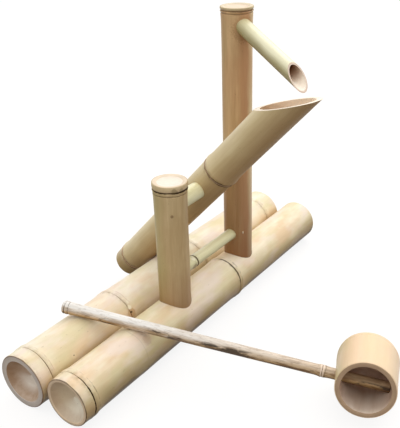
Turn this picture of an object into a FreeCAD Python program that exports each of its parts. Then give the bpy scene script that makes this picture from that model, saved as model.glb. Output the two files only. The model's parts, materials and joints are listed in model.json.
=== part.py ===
"""Shishi odoshi: a rocking bamboo tube on a base of two poles, with its ladle.

Lengths are in millimetres and angles in degrees. +Y runs along the base poles, away from the
ladle's end, +X points to the side that the rocking tube's mouth looks to, and +Z is up. The
origin is on the ground, in the middle of the whole object's plan.
"""
import FreeCAD, Part
import math
import os
from types import SimpleNamespace

import Sketcher

NODES_FOLDER = "parts"

# Driving dimensions: name, value, meaning
DRIVING_DIMENSIONS = [
    ("post_pole_radius", 33.8, "front pole of the base, outside"),
    ("post_pole_wall", 6.8, "front pole, wall of the culm"),
    ("post_pole_length", 600.0, "front pole, end to end"),
    ("post_pole_near", -418.5, "front pole, place of its near end along the base"),
    ("post_pole_node_first", 16.7, "front pole, first node from its near end"),
    ("post_pole_node_second", 121.8, "front pole, second node from its near end"),
    ("post_pole_node_third", 350.9, "front pole, third node from its near end"),
    ("striking_pole_radius", 37.9, "back pole of the base, outside"),
    ("striking_pole_wall", 7.5, "back pole, wall of the culm"),
    ("striking_pole_length", 596.0, "back pole, end to end"),
    ("striking_pole_near", -423.9, "back pole, place of its near end along the base"),
    ("striking_pole_node_first", 20.5, "back pole, first node from its near end"),
    ("striking_pole_node_second", 177.9, "back pole, second node from its near end"),
    ("striking_pole_node_third", 364.9, "back pole, third node from its near end"),
    ("striking_pole_node_fourth", 557.9, "back pole, fourth node from its near end"),
    ("glue_gap", 0.1, "gap between pieces that are glued or nailed together"),
    ("septum", 3.5, "thickness of the wall across a culm at a node"),
    ("node_swell", 0.6, "how far a node stands out from its culm"),
    ("node_groove", 0.9, "depth of the groove in a node"),
    ("short_post_radius", 23.15, "short post, outside"),
    ("short_post_top", 249.6, "short post, height of its top"),
    ("short_post_place", -190.8, "short post, place along the base"),
    ("tall_post_radius", 22.3, "tall post, outside"),
    ("tall_post_top", 451.3, "tall post, height of its top"),
    ("tall_post_place", -21.1, "tall post, place along the base"),
    ("post_wall", 5.0, "wall of either post's culm"),
    ("post_flare", 1.1, "how far a post's top node stands out"),
    ("pivot_height", 211.5, "height of the rocking tube's axle"),
    ("rocker_place", -105.9, "rocking tube, place along the base"),
    ("rocker_tilt", 47.6, "rocking tube, rise of its mouth end at rest"),
    ("rocker_radius", 25.5, "rocking tube, outside, at the axle"),
    ("rocker_taper", 0.0043, "rocking tube, growth of its radius towards the mouth"),
    ("rocker_wall", 4.8, "rocking tube, wall of the culm"),
    ("rocker_heel", 239.7, "rocking tube, from the axle to its heel end"),
    ("rocker_heel_node", 217.0, "rocking tube, from the axle to the node at its heel"),
    ("rocker_cup_node", 37.5, "rocking tube, from the axle to the node under its water chamber"),
    ("mouth_upper", 149.4, "rocking tube, from the axle to the mouth on its upper side"),
    ("mouth_lower", 233.9, "rocking tube, from the axle to the lip on its lower side"),
    ("axle_radius", 12.5, "axle, outside"),
    ("axle_wall", 3.6, "axle, wall of the culm"),
    ("axle_play", 0.06, "gap round the axle in the rocking tube"),
    ("bar_radius", 8.8, "cross bar, outside"),
    ("bar_wall", 2.6, "cross bar, wall of the culm"),
    ("bar_height", 103.0, "height of the cross bar"),
    ("bar_node", 59.5, "cross bar, node from its near end"),
    ("rod_near", -203.5, "near end of the axle and the cross bar, inside the short post"),
    ("rod_far", -29.0, "far end of the axle and the cross bar, inside the tall post"),
    ("spout_radius", 11.3, "spout, outside"),
    ("spout_wall", 2.9, "spout, wall of the culm"),
    ("spout_height", 431.0, "height at which the spout crosses the tall post's axis"),
    ("spout_turn", 60.0, "spout, turn from the near end's direction towards the mouth's side"),
    ("spout_drop", 15.0, "spout, fall below level"),
    ("spout_tail", 12.0, "spout, length behind the tall post's axis"),
    ("spout_upper", 149.0, "spout, from the tall post's axis to its end, on top"),
    ("spout_lower", 186.6, "spout, from the tall post's axis to its lip, underneath"),
    ("tube_radius", 6.0, "water tube, outside"),
    ("tube_bore", 4.55, "water tube, inside"),
    ("tube_height", 44.0, "height of the water tube inside the front pole"),
    ("tube_bend", 30.0, "radius of the water tube's bend"),
    ("tube_top", 427.0, "height of the water tube's open end, inside the spout"),
    ("tail_radius", 4.5, "hose tail, outside, where a hose is pushed on"),
    ("tail_inner_radius", 4.2, "hose tail, outside, in the bung and the water tube"),
    ("tail_bore", 3.2, "hose tail, inside"),
    ("tail_outside", 20.0, "hose tail, length that stands out of the front pole"),
    ("tail_inside", 20.0, "hose tail, length inside the water tube"),
    ("bung_thickness", 15.0, "wooden bung in the front pole's far end"),
    ("plug_thickness", 13.0, "wooden plug in a post's foot"),
    ("screw_radius", 2.2, "foot screw, shank"),
    ("screw_head", 4.3, "foot screw, head"),
    ("screw_top", 30.0, "height of a foot screw's point"),
    ("nail_radius", 1.2, "nails, shank"),
    ("nail_head", 2.1, "nails, head"),
    ("pole_nail_length", 45.0, "nails that join the two poles"),
    ("rod_nail_length", 20.0, "nails that hold the axle and the cross bar"),
    ("cup_mouth_radius", 37.0, "ladle cup, outside at the mouth"),
    ("cup_back_radius", 39.8, "ladle cup, outside at the back"),
    ("cup_wall", 6.6, "ladle cup, wall of the culm"),
    ("cup_length", 84.4, "ladle cup, back to mouth"),
    ("cup_floor", 12.0, "ladle cup, from its back to the inside of its floor"),
    ("cup_across", 278.3, "ladle cup, place of its back across the base"),
    ("cup_along", -142.9, "ladle cup, place of its back along the base"),
    ("cup_node", 8.0, "ladle cup, from its back to its node"),
    ("cup_turn", 20.2, "ladle cup, turn of its mouth from the near end's direction"),
    ("cup_rise", 11.7, "ladle cup, rise of its mouth"),
    ("handle_across", 258.1, "ladle handle, where it enters the cup, across the base"),
    ("handle_along", -201.5, "ladle handle, where it enters the cup, along the base"),
    ("handle_height", 46.4, "ladle handle, height where it enters the cup"),
    ("handle_turn", 18.56, "ladle handle, turn of its cup end from the mouth's side"),
    ("handle_fall", 6.3, "ladle handle, fall towards the cup"),
    ("handle_outside", 374.9, "ladle handle, from its free end to the cup"),
    ("handle_inside", 68.6, "ladle handle, from the cup's outside to its tip"),
    ("handle_end_radius", 9.0, "ladle handle, at its free end"),
    ("handle_middle_radius", 7.75, "ladle handle, at the middle"),
    ("handle_cup_radius", 7.1, "ladle handle, where it enters the cup"),
    ("lift_gap", 0.3, "gap under and between pieces that lift off"),
]

# Places of the nails that join the poles, along the base. They are driven from below, slanting up through
# the striking pole's wall into the post pole's wall. Their turn is that of their heads, from the top.
# The other nails are given by the turn of their heads round their post, from the near end's direction.
POLE_NAIL_PLACES = (-361.0, -128.0, 112.0)
POLE_NAIL_TURN = 143.2
POLE_NAIL_DIRECTION = FreeCAD.Vector(0.513, 0, 0.858)
AXLE_NAIL_TURN = 40.9
BAR_NAIL_TURN = 53.3
AXLE_NAIL_DROP = 4.6
BAR_NAIL_RISE = 4.2
AXLE_NAIL_AIM = 0.0
BAR_NAIL_AIM = 15.0


class Size:
    """A size as the expression that the document keeps, with its present value."""

    def __init__(self, text, value):
        self.text = text
        self.value = value

    def combined(self, sign, other, value):
        return Size(f"({self.text} {sign} {text_of(other)})", value)

    def __add__(self, other):
        return self.combined("+", other, self.value + value_of(other))

    def __sub__(self, other):
        return self.combined("-", other, self.value - value_of(other))

    def __mul__(self, other):
        return self.combined("*", other, self.value * value_of(other))

    def __truediv__(self, other):
        return self.combined("/", other, self.value / value_of(other))

    def __neg__(self):
        return Size(f"(0 - {self.text})", -self.value)


def text_of(size):
    return size.text if isinstance(size, Size) else f"({float(size)})"


def value_of(size):
    return size.value if isinstance(size, Size) else float(size)


def root(size):
    return Size(f"sqrt({size.text})", math.sqrt(size.value))


def cosine(angle):
    return Size(f"cos({angle.text})", math.cos(math.radians(angle.value)))


def sine(angle):
    return Size(f"sin({angle.text})", math.sin(math.radians(angle.value)))


def vector(*sizes):
    return FreeCAD.Vector(*[value_of(size) for size in sizes])


doc = FreeCAD.newDocument("ShishiOdoshi")
sheet = doc.addObject("Spreadsheet::Sheet", "Dimensions")
for row, (alias, number, meaning) in enumerate(DRIVING_DIMENSIONS, start=1):
    sheet.set(f"A{row}", meaning)
    sheet.set(f"B{row}", str(number))
    sheet.setAlias(f"B{row}", alias)
doc.recompute()
dim = SimpleNamespace(
    **{alias: Size(f"Dimensions.{alias}", number) for alias, number, _ in DRIVING_DIMENSIONS}
)

# Rounding of the ladle cup's rim, and how far the handle runs from its entry to the cup's middle
CUP_EDGE = 1.0
HANDLE_TO_CUP_MIDDLE = 36.0

# A foot screw's head, the height of its underside, and the room round the water tube in the tall post
SCREW_HEAD_HEIGHT = 2.2
SCREW_REST = 0.6
TUBE_ROOM = 2.0

# Sizes that follow from the driving ones
pole_spacing = dim.post_pole_radius + dim.striking_pole_radius + dim.node_swell * 2 + dim.glue_gap
striking_pole_across = -pole_spacing
post_pole_bore = dim.post_pole_radius - dim.post_pole_wall
post_pole_far = dim.post_pole_near + dim.post_pole_length
cup_tilt = cosine(dim.cup_rise)
heel_radius = dim.rocker_radius - dim.rocker_taper * dim.rocker_heel
reach_left = -(dim.rocker_heel * cosine(dim.rocker_tilt) + heel_radius * sine(dim.rocker_tilt))
cup_rim = dim.cup_length - CUP_EDGE
cup_mouth_across = dim.cup_across + cup_rim * cup_tilt * sine(dim.cup_turn)
cup_mouth_lean = cup_tilt * sine(dim.cup_turn)
reach_right = cup_mouth_across + dim.cup_mouth_radius * root(-(cup_mouth_lean * cup_mouth_lean) + 1)
reach_far = post_pole_far + dim.tail_outside
origin_across = (reach_left + reach_right) / 2
origin_along = (dim.striking_pole_near + reach_far) / 2


def post_foot(radius):
    """Height of a post's foot: its edge rests on the inside of the front pole."""
    drop = root(post_pole_bore * post_pole_bore - radius * radius)
    return dim.post_pole_radius - drop + dim.glue_gap


pieces = {}


def place(piece, name, across, along, height, rotation=FreeCAD.Rotation()):
    """Name a piece and put its own origin at a place given from the front pole's axis.

    Heights are given from the underside of the poles, which lie on the ground on their nodes.
    """
    piece.Label = name
    base = (across - origin_across, along - origin_along, dim.node_swell + height)
    piece.Placement = FreeCAD.Placement(vector(*base), rotation)
    for axis, size in zip("xyz", base):
        piece.setExpression(f"Placement.Base.{axis}", text_of(size))
    pieces[name] = piece


def origin_plane(body, role):
    return next(feature for feature in body.Origin.OriginFeatures if feature.Role == role)


def new_body(name):
    return doc.addObject("PartDesign::Body", f"{name}_body")


def closed_sketch(body, name, role, points):
    """A closed outline of straight edges, each corner bound to its two sizes."""
    sketch = body.newObject("Sketcher::SketchObject", name)
    sketch.AttachmentSupport = [(origin_plane(body, role), "")]
    sketch.MapMode = "FlatFace"
    corners = [vector(x, y, 0) for x, y in points]
    edges = [Part.LineSegment(a, b) for a, b in zip(corners, corners[1:] + corners[:1])]
    sketch.addGeometry(edges)
    last = len(edges) - 1
    joined = [("Coincident", i, 2, i + 1 if i < last else 0, 1) for i in range(len(edges))]
    sketch.addConstraint([Sketcher.Constraint(*words) for words in joined])
    for index, point in enumerate(points):
        for kind, line, size in (("DistanceX", -2, point[0]), ("DistanceY", -1, point[1])):
            if not isinstance(size, Size) and size == 0:
                sketch.addConstraint(Sketcher.Constraint("PointOnObject", index, 1, line))
                continue
            number = sketch.addConstraint(Sketcher.Constraint(kind, index, 1, value_of(size)))
            if isinstance(size, Size):
                sketch.setExpression(f"Constraints[{number}]", size.text)
    return sketch


def revolved(body, name, points):
    """Turn a half section, given as radius and height, about the body's Z axis."""
    sketch = closed_sketch(body, f"{name}_section", "XZ_Plane", points)
    feature = body.newObject("PartDesign::Revolution", f"{name}_turned")
    feature.Profile = sketch
    feature.ReferenceAxis = (sketch, ["V_Axis"])
    feature.Angle = 360
    doc.recompute()
    return feature


def checked_cut(body, before, name):
    doc.recompute()
    if body.Shape.Volume > before - 1:
        raise RuntimeError(f"{name} cuts nothing")


def bored(body, name, start, direction, radius, length):
    """Drill a round hole from a start point inside the body, along a direction."""
    before = body.Shape.Volume
    sketch = body.newObject("Sketcher::SketchObject", f"{name}_circle")
    sketch.AttachmentSupport = [(origin_plane(body, "XY_Plane"), "")]
    sketch.MapMode = "FlatFace"
    turn = FreeCAD.Rotation(FreeCAD.Vector(0, 0, 1), -direction)
    sketch.AttachmentOffset = FreeCAD.Placement(vector(*start), turn)
    for axis, size in zip("xyz", start):
        if isinstance(size, Size):
            sketch.setExpression(f"AttachmentOffset.Base.{axis}", size.text)
    sketch.addGeometry(Part.Circle(vector(0, 0, 0), FreeCAD.Vector(0, 0, 1), value_of(radius)))
    sketch.addConstraint(Sketcher.Constraint("Coincident", 0, 3, -1, 1))
    number = sketch.addConstraint(Sketcher.Constraint("Radius", 0, value_of(radius)))
    sketch.setExpression(f"Constraints[{number}]", text_of(radius))
    pocket = body.newObject("PartDesign::Pocket", name)
    pocket.Profile = sketch
    pocket.setExpression("Length", text_of(length))
    checked_cut(body, before, name)


def sliced(body, name, role, points):
    """Cut away everything inside an outline, right through the body on both sides."""
    before = body.Shape.Volume
    sketch = closed_sketch(body, f"{name}_outline", role, points)
    pocket = body.newObject("PartDesign::Pocket", name)
    pocket.Profile = sketch
    pocket.Type = "ThroughAll"
    pocket.Midplane = True
    checked_cut(body, before, name)


# Shared shapes of a culm
RING_HALF = 5.0
GROOVE_HALF = 1.1


def node_ring(radius, at, scale=1.0):
    """Outside of a node: a low ridge with a narrow groove round its middle."""
    ridge = radius + dim.node_swell * scale
    return [
        (radius, at - RING_HALF * scale),
        (ridge, at - GROOVE_HALF),
        (ridge - dim.node_groove * scale, at),
        (ridge, at + GROOVE_HALF),
        (radius, at + RING_HALF * scale),
    ]


def septum_between(bore_below, bore_above, at):
    """Inside of a culm at a node, met from its far end: the wall right across."""
    half = dim.septum / 2
    return [(bore_above, at + half), (0, at + half), (0, at - half), (bore_below, at - half)]


def dished_end(radius, wall, node):
    """Cut end of a culm just before a node, met from inside: the node's wall seen as a dish."""
    bore = radius - wall
    return [
        (bore, node),
        (0, node),
        (0, node - dim.septum),
        (bore * 0.62, node * 0.72),
        (bore * 0.93, node * 0.4),
        (bore + wall * 0.12, 0),
    ]


def make_post_pole():
    body = new_body("post_pole")
    radius = dim.post_pole_radius
    length = dim.post_pole_length
    nodes = [dim.post_pole_node_first, dim.post_pole_node_second, dim.post_pole_node_third]
    outside = [(radius, 0)]
    for node in nodes:
        outside += node_ring(radius, node)
    inside = [(radius, length), (post_pole_bore, length)]
    for node in (nodes[2], nodes[1]):
        inside += septum_between(post_pole_bore, post_pole_bore, node)
    revolved(body, "post_pole", outside + inside + dished_end(radius, dim.post_pole_wall, nodes[0]))
    up = FreeCAD.Vector(0, -1, 0)
    for name, post_radius, at in (
        ("short", dim.short_post_radius, dim.short_post_place),
        ("tall", dim.tall_post_radius, dim.tall_post_place),
    ):
        along = at - dim.post_pole_near
        hole = post_radius + dim.glue_gap
        bored(body, f"{name}_post_hole", (0, 0, along), up, hole, radius * 1.2)
        bored(body, f"{name}_screw_hole", (0, 0, along), -up, dim.screw_radius + 0.2, radius * 1.2)
        recess = radius - 3.2
        bored(body, f"{name}_screw_recess", (0, recess, along), -up, dim.screw_head + 0.4, radius)
    along_base = FreeCAD.Rotation(FreeCAD.Vector(1, 0, 0), -90)
    place(body, "post_pole", Size("0", 0), dim.post_pole_near, radius, along_base)


def make_striking_pole():
    body = new_body("striking_pole")
    radius = dim.striking_pole_radius
    bore = radius - dim.striking_pole_wall
    length = dim.striking_pole_length
    nodes = [
        dim.striking_pole_node_first,
        dim.striking_pole_node_second,
        dim.striking_pole_node_third,
        dim.striking_pole_node_fourth,
    ]
    outside = [(radius, 0)]
    for node in nodes:
        outside += node_ring(radius, node)
    inside = [(radius, length), (bore, length)]
    for node in reversed(nodes[1:]):
        inside += septum_between(bore, bore, node)
    section = outside + inside + dished_end(radius, dim.striking_pole_wall, nodes[0])
    revolved(body, "striking_pole", section)
    along_base = FreeCAD.Rotation(FreeCAD.Vector(1, 0, 0), -90)
    place(body, "striking_pole", striking_pole_across, dim.striking_pole_near, radius, along_base)


def post_section(radius, height):
    """Half section of a post: hollow, and closed by the node just under its top."""
    bore = radius - dim.post_wall
    flare = radius + dim.post_flare
    return [
        (radius, 0),
        (radius, height - 22),
        (radius + 0.5, height - 14),
        (radius, height - 12.6),
        (radius + 0.7, height - 11.2),
        (flare, height - 8),
        (flare - dim.node_groove * 1.4, height - 6.6),
        (flare, height - 5.4),
        (flare, height - 0.8),
        (flare - 0.8, height),
        (radius - 2.6, height),
        (bore - 1, height - 2),
        (0, height - 2),
        (0, height - 5.5),
        (bore, height - 5.5),
        (bore, 0),
    ]


def make_short_post():
    body = new_body("short_post")
    foot = post_foot(dim.short_post_radius)
    revolved(body, "short_post", post_section(dim.short_post_radius, dim.short_post_top - foot))
    far = FreeCAD.Vector(0, 1, 0)
    reach = dim.short_post_radius * 1.2
    axle_hole = dim.axle_radius + dim.glue_gap
    bored(body, "short_axle_hole", (0, 0, dim.pivot_height - foot), far, axle_hole, reach)
    bar_hole = dim.bar_radius + dim.glue_gap
    bored(body, "short_bar_hole", (0, 0, dim.bar_height - foot), far, bar_hole, reach)
    place(body, "short_post", Size("0", 0), dim.short_post_place, foot)


def spout_rotation():
    lean = FreeCAD.Rotation(FreeCAD.Vector(1, 0, 0), 90 + dim.spout_drop.value)
    return FreeCAD.Rotation(FreeCAD.Vector(0, 0, 1), dim.spout_turn.value) * lean


def make_tall_post():
    body = new_body("tall_post")
    foot = post_foot(dim.tall_post_radius)
    revolved(body, "tall_post", post_section(dim.tall_post_radius, dim.tall_post_top - foot))
    near = FreeCAD.Vector(0, -1, 0)
    reach = dim.tall_post_radius * 1.2
    axle_hole = dim.axle_radius + dim.glue_gap
    bored(body, "tall_axle_hole", (0, 0, dim.pivot_height - foot), near, axle_hole, reach)
    bar_hole = dim.bar_radius + dim.glue_gap
    bored(body, "tall_bar_hole", (0, 0, dim.bar_height - foot), near, bar_hole, reach)
    tube_hole = dim.tube_radius + TUBE_ROOM
    bored(body, "tube_hole", (0, 0, dim.tube_height - foot + TUBE_ROOM), -near, tube_hole, reach)
    outward = spout_rotation().multVec(FreeCAD.Vector(0, 0, 1))
    spout_hole = dim.spout_radius + dim.glue_gap
    bored(body, "spout_hole", (0, 0, dim.spout_height - foot), outward, spout_hole, reach * 1.3)
    place(body, "tall_post", Size("0", 0), dim.tall_post_place, foot)


def make_foot_plug(name, post_radius, along):
    body = new_body(name)
    radius = post_radius - dim.post_wall - dim.glue_gap
    top = dim.plug_thickness
    revolved(body, name, [(0, 0), (radius, 0), (radius, top - 1), (radius - 1, top), (0, top)])
    place(body, name, Size("0", 0), along, post_foot(post_radius))


def make_foot_screws():
    screws = []
    for name, along in (("short", dim.short_post_place), ("tall", dim.tall_post_place)):
        head = doc.addObject("Part::Cone", f"{name}_screw_head")
        head.setExpression("Radius1", dim.screw_head.text)
        head.setExpression("Radius2", dim.screw_radius.text)
        head.Height = SCREW_HEAD_HEIGHT
        shank = doc.addObject("Part::Cylinder", f"{name}_screw_shank")
        shank.setExpression("Radius", dim.screw_radius.text)
        shank_start = SCREW_REST + SCREW_HEAD_HEIGHT / 2
        shank.setExpression("Height", (dim.screw_top - shank_start).text)
        for shape, height in ((head, SCREW_REST), (shank, shank_start)):
            shape.setExpression("Placement.Base.y", (along - dim.short_post_place).text)
            shape.Placement.Base.z = height
        screw = doc.addObject("Part::MultiFuse", f"{name}_foot_screw")
        screw.Shapes = [head, shank]
        screws.append(screw)
    group = doc.addObject("Part::Compound", "foot_screws_group")
    group.Links = screws
    doc.recompute()
    place(group, "foot_screws", Size("0", 0), dim.short_post_place, -dim.node_swell)


def nail(name, start, direction, length):
    """A round nail from the surface point where its head lies."""
    turn = FreeCAD.Rotation(FreeCAD.Vector(0, 0, 1), direction)
    shank = doc.addObject("Part::Cylinder", f"{name}_shank")
    shank.setExpression("Radius", dim.nail_radius.text)
    shank.setExpression("Height", length.text)
    shank.Placement = FreeCAD.Placement(start, turn)
    head = doc.addObject("Part::Cylinder", f"{name}_head")
    head.setExpression("Radius", dim.nail_head.text)
    head.Height = 0.9
    head.Placement = FreeCAD.Placement(start - direction * 0.5, turn)
    whole = doc.addObject("Part::MultiFuse", f"{name}_whole")
    whole.Shapes = [shank, head]
    return whole


def make_pole_nails():
    turn = math.radians(POLE_NAIL_TURN)
    radius = dim.striking_pole_radius.value
    start = FreeCAD.Vector(radius * math.sin(turn), 0, radius * math.cos(turn))
    direction = FreeCAD.Vector(POLE_NAIL_DIRECTION).normalize()
    nails = []
    for index, along in enumerate(POLE_NAIL_PLACES):
        at = start + FreeCAD.Vector(0, along, 0)
        nails.append(nail(f"pole_nail_{index}", at, direction, dim.pole_nail_length))
    group = doc.addObject("Part::Compound", "pole_nails_group")
    group.Links = nails
    doc.recompute()
    place(group, "pole_nails", striking_pole_across, Size("0", 0), dim.striking_pole_radius)


def make_rod_nail(name, post_radius, along, height, turn, aim):
    """A nail through a post's wall, aimed at a rod in it, this far towards the near end."""
    angle = math.radians(turn)
    start = FreeCAD.Vector(math.sin(angle), -math.cos(angle), 0) * post_radius.value
    direction = (FreeCAD.Vector(0, -aim, 0) - start).normalize()
    whole = nail(name, start, direction, dim.rod_nail_length)
    doc.recompute()
    place(whole, name, Size("0", 0), along, height)


def make_axle():
    body = new_body("pivot_axle")
    radius = dim.axle_radius
    length = dim.rod_far - dim.rod_near
    bore = radius - dim.axle_wall
    revolved(body, "pivot_axle", [(radius, 0), (radius, length), (bore, length), (bore, 0)])
    along_base = FreeCAD.Rotation(FreeCAD.Vector(1, 0, 0), -90)
    place(body, "pivot_axle", Size("0", 0), dim.rod_near, dim.pivot_height, along_base)


def make_cross_bar():
    body = new_body("cross_bar")
    radius = dim.bar_radius
    length = dim.rod_far - dim.rod_near
    bore = radius - dim.bar_wall
    section = [(radius, 0)] + node_ring(radius, dim.bar_node, 0.7)
    section += [(radius, length), (bore, length)]
    section += septum_between(bore, bore, dim.bar_node)
    section += [(bore, 0)]
    revolved(body, "cross_bar", section)
    along_base = FreeCAD.Rotation(FreeCAD.Vector(1, 0, 0), -90)
    place(body, "cross_bar", Size("0", 0), dim.rod_near, dim.bar_height, along_base)


def make_rocker_tube():
    """The tube's own Z axis runs from heel to mouth, and its +X side is the lower one."""
    body = new_body("rocker_tube")

    def outside_at(at):
        return dim.rocker_radius + dim.rocker_taper * at

    def inside_at(at):
        return outside_at(at) - dim.rocker_wall

    heel = -dim.rocker_heel
    heel_node = -dim.rocker_heel_node
    cup_node = dim.rocker_cup_node
    lip = dim.mouth_lower
    section = [(outside_at(heel), heel)]
    section += node_ring(outside_at(heel_node), heel_node)
    section += node_ring(outside_at(cup_node), cup_node)
    section += [(outside_at(lip), lip), (inside_at(lip), lip)]
    for node in (cup_node, heel_node):
        section += septum_between(inside_at(node), inside_at(node), node)
    section += [(inside_at(heel), heel)]
    revolved(body, "rocker_tube", section)

    rim = outside_at(dim.mouth_lower)
    slope = (dim.mouth_lower - dim.mouth_upper) / (rim * 2)
    past = 4.0
    low = dim.mouth_upper - slope * past
    high = dim.mouth_lower + slope * past
    side = rim + past
    outline = [(-side, low), (side, high), (side, high + past), (-side, high + past)]
    sliced(body, "slanted_mouth", "XZ_Plane", outline)

    hole = dim.axle_radius + dim.axle_play
    for name, side in (("near", -1), ("far", 1)):
        direction = FreeCAD.Vector(0, side, 0)
        bored(body, f"axle_hole_{name}", (0, 0, 0), direction, hole, dim.rocker_radius * 1.3)
    lean = FreeCAD.Rotation(FreeCAD.Vector(0, 1, 0), 90 - dim.rocker_tilt.value)
    place(body, "rocker_tube", Size("0", 0), dim.rocker_place, dim.pivot_height, lean)


def make_spout():
    """The spout's own Z axis runs out of the post, and its +Y side is the upper one."""
    body = new_body("spout")
    radius = dim.spout_radius
    bore = radius - dim.spout_wall
    tail = -dim.spout_tail
    lip = dim.spout_lower
    node = tail + dim.spout_wall
    section = [(0, tail), (radius, tail), (radius, lip), (bore, lip), (bore, node), (0, node)]
    revolved(body, "spout", section)

    slope = (dim.spout_lower - dim.spout_upper) / (radius * 2)
    past = 3.0
    low = dim.spout_upper - slope * past
    high = dim.spout_lower + slope * past
    side = radius + past
    outline = [(side, low), (-side, high), (-side, high + past), (side, high + past)]
    sliced(body, "slanted_end", "YZ_Plane", outline)
    rotation = spout_rotation()
    down = rotation.inverted().multVec(FreeCAD.Vector(0, 0, -1))
    bored(body, "tube_inlet", (0, 0, 0), down, dim.tube_radius + dim.glue_gap, radius * 1.4)
    place(body, "spout", Size("0", 0), dim.tall_post_place, dim.spout_height, rotation)


def tube_run(name, radius, past):
    """Solid of the water tube's route: level, a quarter bend and upright, longer by past at its ends."""
    start = post_pole_far - dim.bung_thickness - dim.glue_gap - dim.tall_post_place
    rise = dim.tube_top - dim.tube_height
    level = doc.addObject("Part::Cylinder", f"{name}_level")
    level.setExpression("Height", (start - dim.tube_bend + past).text)
    towards_far = FreeCAD.Rotation(FreeCAD.Vector(1, 0, 0), -90)
    level.Placement = FreeCAD.Placement(vector(0, dim.tube_bend, 0), towards_far)
    level.setExpression("Placement.Base.y", dim.tube_bend.text)
    upright = doc.addObject("Part::Cylinder", f"{name}_upright")
    upright.setExpression("Height", (rise - dim.tube_bend + past).text)
    upright.setExpression("Placement.Base.z", dim.tube_bend.text)
    bend = doc.addObject("Part::Torus", f"{name}_bend")
    bend.setExpression("Radius1", dim.tube_bend.text)
    bend.setExpression("Radius2", radius.text)
    bend.Angle3 = 90
    down = FreeCAD.Vector(0, 0, -1)
    nearer = FreeCAD.Vector(0, -1, 0)
    turn = FreeCAD.Rotation(down, nearer, down.cross(nearer), "ZXY")
    bend.Placement = FreeCAD.Placement(vector(0, dim.tube_bend, dim.tube_bend), turn)
    for axis in "yz":
        bend.setExpression(f"Placement.Base.{axis}", dim.tube_bend.text)
    for straight in (level, upright):
        straight.setExpression("Radius", radius.text)
    run = doc.addObject("Part::MultiFuse", f"{name}_run")
    run.Shapes = [level, bend, upright]
    return run


def make_supply_tube():
    """Level along the front pole, then up the tall post in one bend."""
    tube = doc.addObject("Part::Cut", "supply_tube_wall")
    tube.Base = tube_run("tube_outside", dim.tube_radius, 0)
    tube.Tool = tube_run("tube_inside", dim.tube_bore, 1)
    doc.recompute()
    start = value_of(post_pole_far - dim.bung_thickness - dim.glue_gap - dim.tall_post_place)
    rise = value_of(dim.tube_top - dim.tube_height)
    bend = dim.tube_bend.value
    route = start - bend + bend * math.pi / 2 + rise - bend
    wall = math.pi * (dim.tube_radius.value ** 2 - dim.tube_bore.value ** 2)
    print(f"supply_tube: section times length {wall * route:.0f} cubic mm")
    place(tube, "supply_tube", Size("0", 0), dim.tall_post_place, dim.tube_height)


def make_hose_tail():
    """The slimmer part lies in the water tube and the bung, and the hose goes on the thicker one."""
    body = new_body("hose_tail")
    slim = dim.tail_inner_radius
    thick = dim.tail_radius
    bore = dim.tail_bore
    shoulder = dim.tail_inside + dim.bung_thickness + dim.glue_gap
    length = dim.tail_inside + dim.bung_thickness + dim.tail_outside
    section = [(slim - 0.6, 0), (slim, 1.2), (slim, shoulder), (thick, shoulder)]
    section += [(thick, length - 1.2), (thick - 0.6, length), (bore, length), (bore, 0)]
    revolved(body, "hose_tail", section)
    along_base = FreeCAD.Rotation(FreeCAD.Vector(1, 0, 0), -90)
    start = post_pole_far - dim.bung_thickness - dim.tail_inside
    place(body, "hose_tail", Size("0", 0), start, dim.tube_height, along_base)


def make_end_bung():
    body = new_body("end_bung")
    radius = post_pole_bore - dim.glue_gap
    top = dim.bung_thickness
    section = [(0, 0), (radius - 1, 0), (radius, 1), (radius, top - 1), (radius - 1, top), (0, top)]
    revolved(body, "end_bung", section)
    above = -(dim.tube_height - dim.post_pole_radius)
    hole = dim.tail_inner_radius + dim.glue_gap / 2
    bored(body, "tail_hole", (0, above, top), FreeCAD.Vector(0, 0, -1), hole, top * 1.2)
    along_base = FreeCAD.Rotation(FreeCAD.Vector(1, 0, 0), -90)
    start = post_pole_far - dim.bung_thickness
    place(body, "end_bung", Size("0", 0), start, dim.post_pole_radius, along_base)


# The ladle
def cup_rotation():
    rise = FreeCAD.Rotation(FreeCAD.Vector(1, 0, 0), 90 - dim.cup_rise.value)
    return FreeCAD.Rotation(FreeCAD.Vector(0, 0, 1), dim.cup_turn.value) * rise


def handle_rotation():
    fall = FreeCAD.Rotation(FreeCAD.Vector(0, 1, 0), 90 + dim.handle_fall.value)
    return FreeCAD.Rotation(FreeCAD.Vector(0, 0, 1), dim.handle_turn.value) * fall


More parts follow.
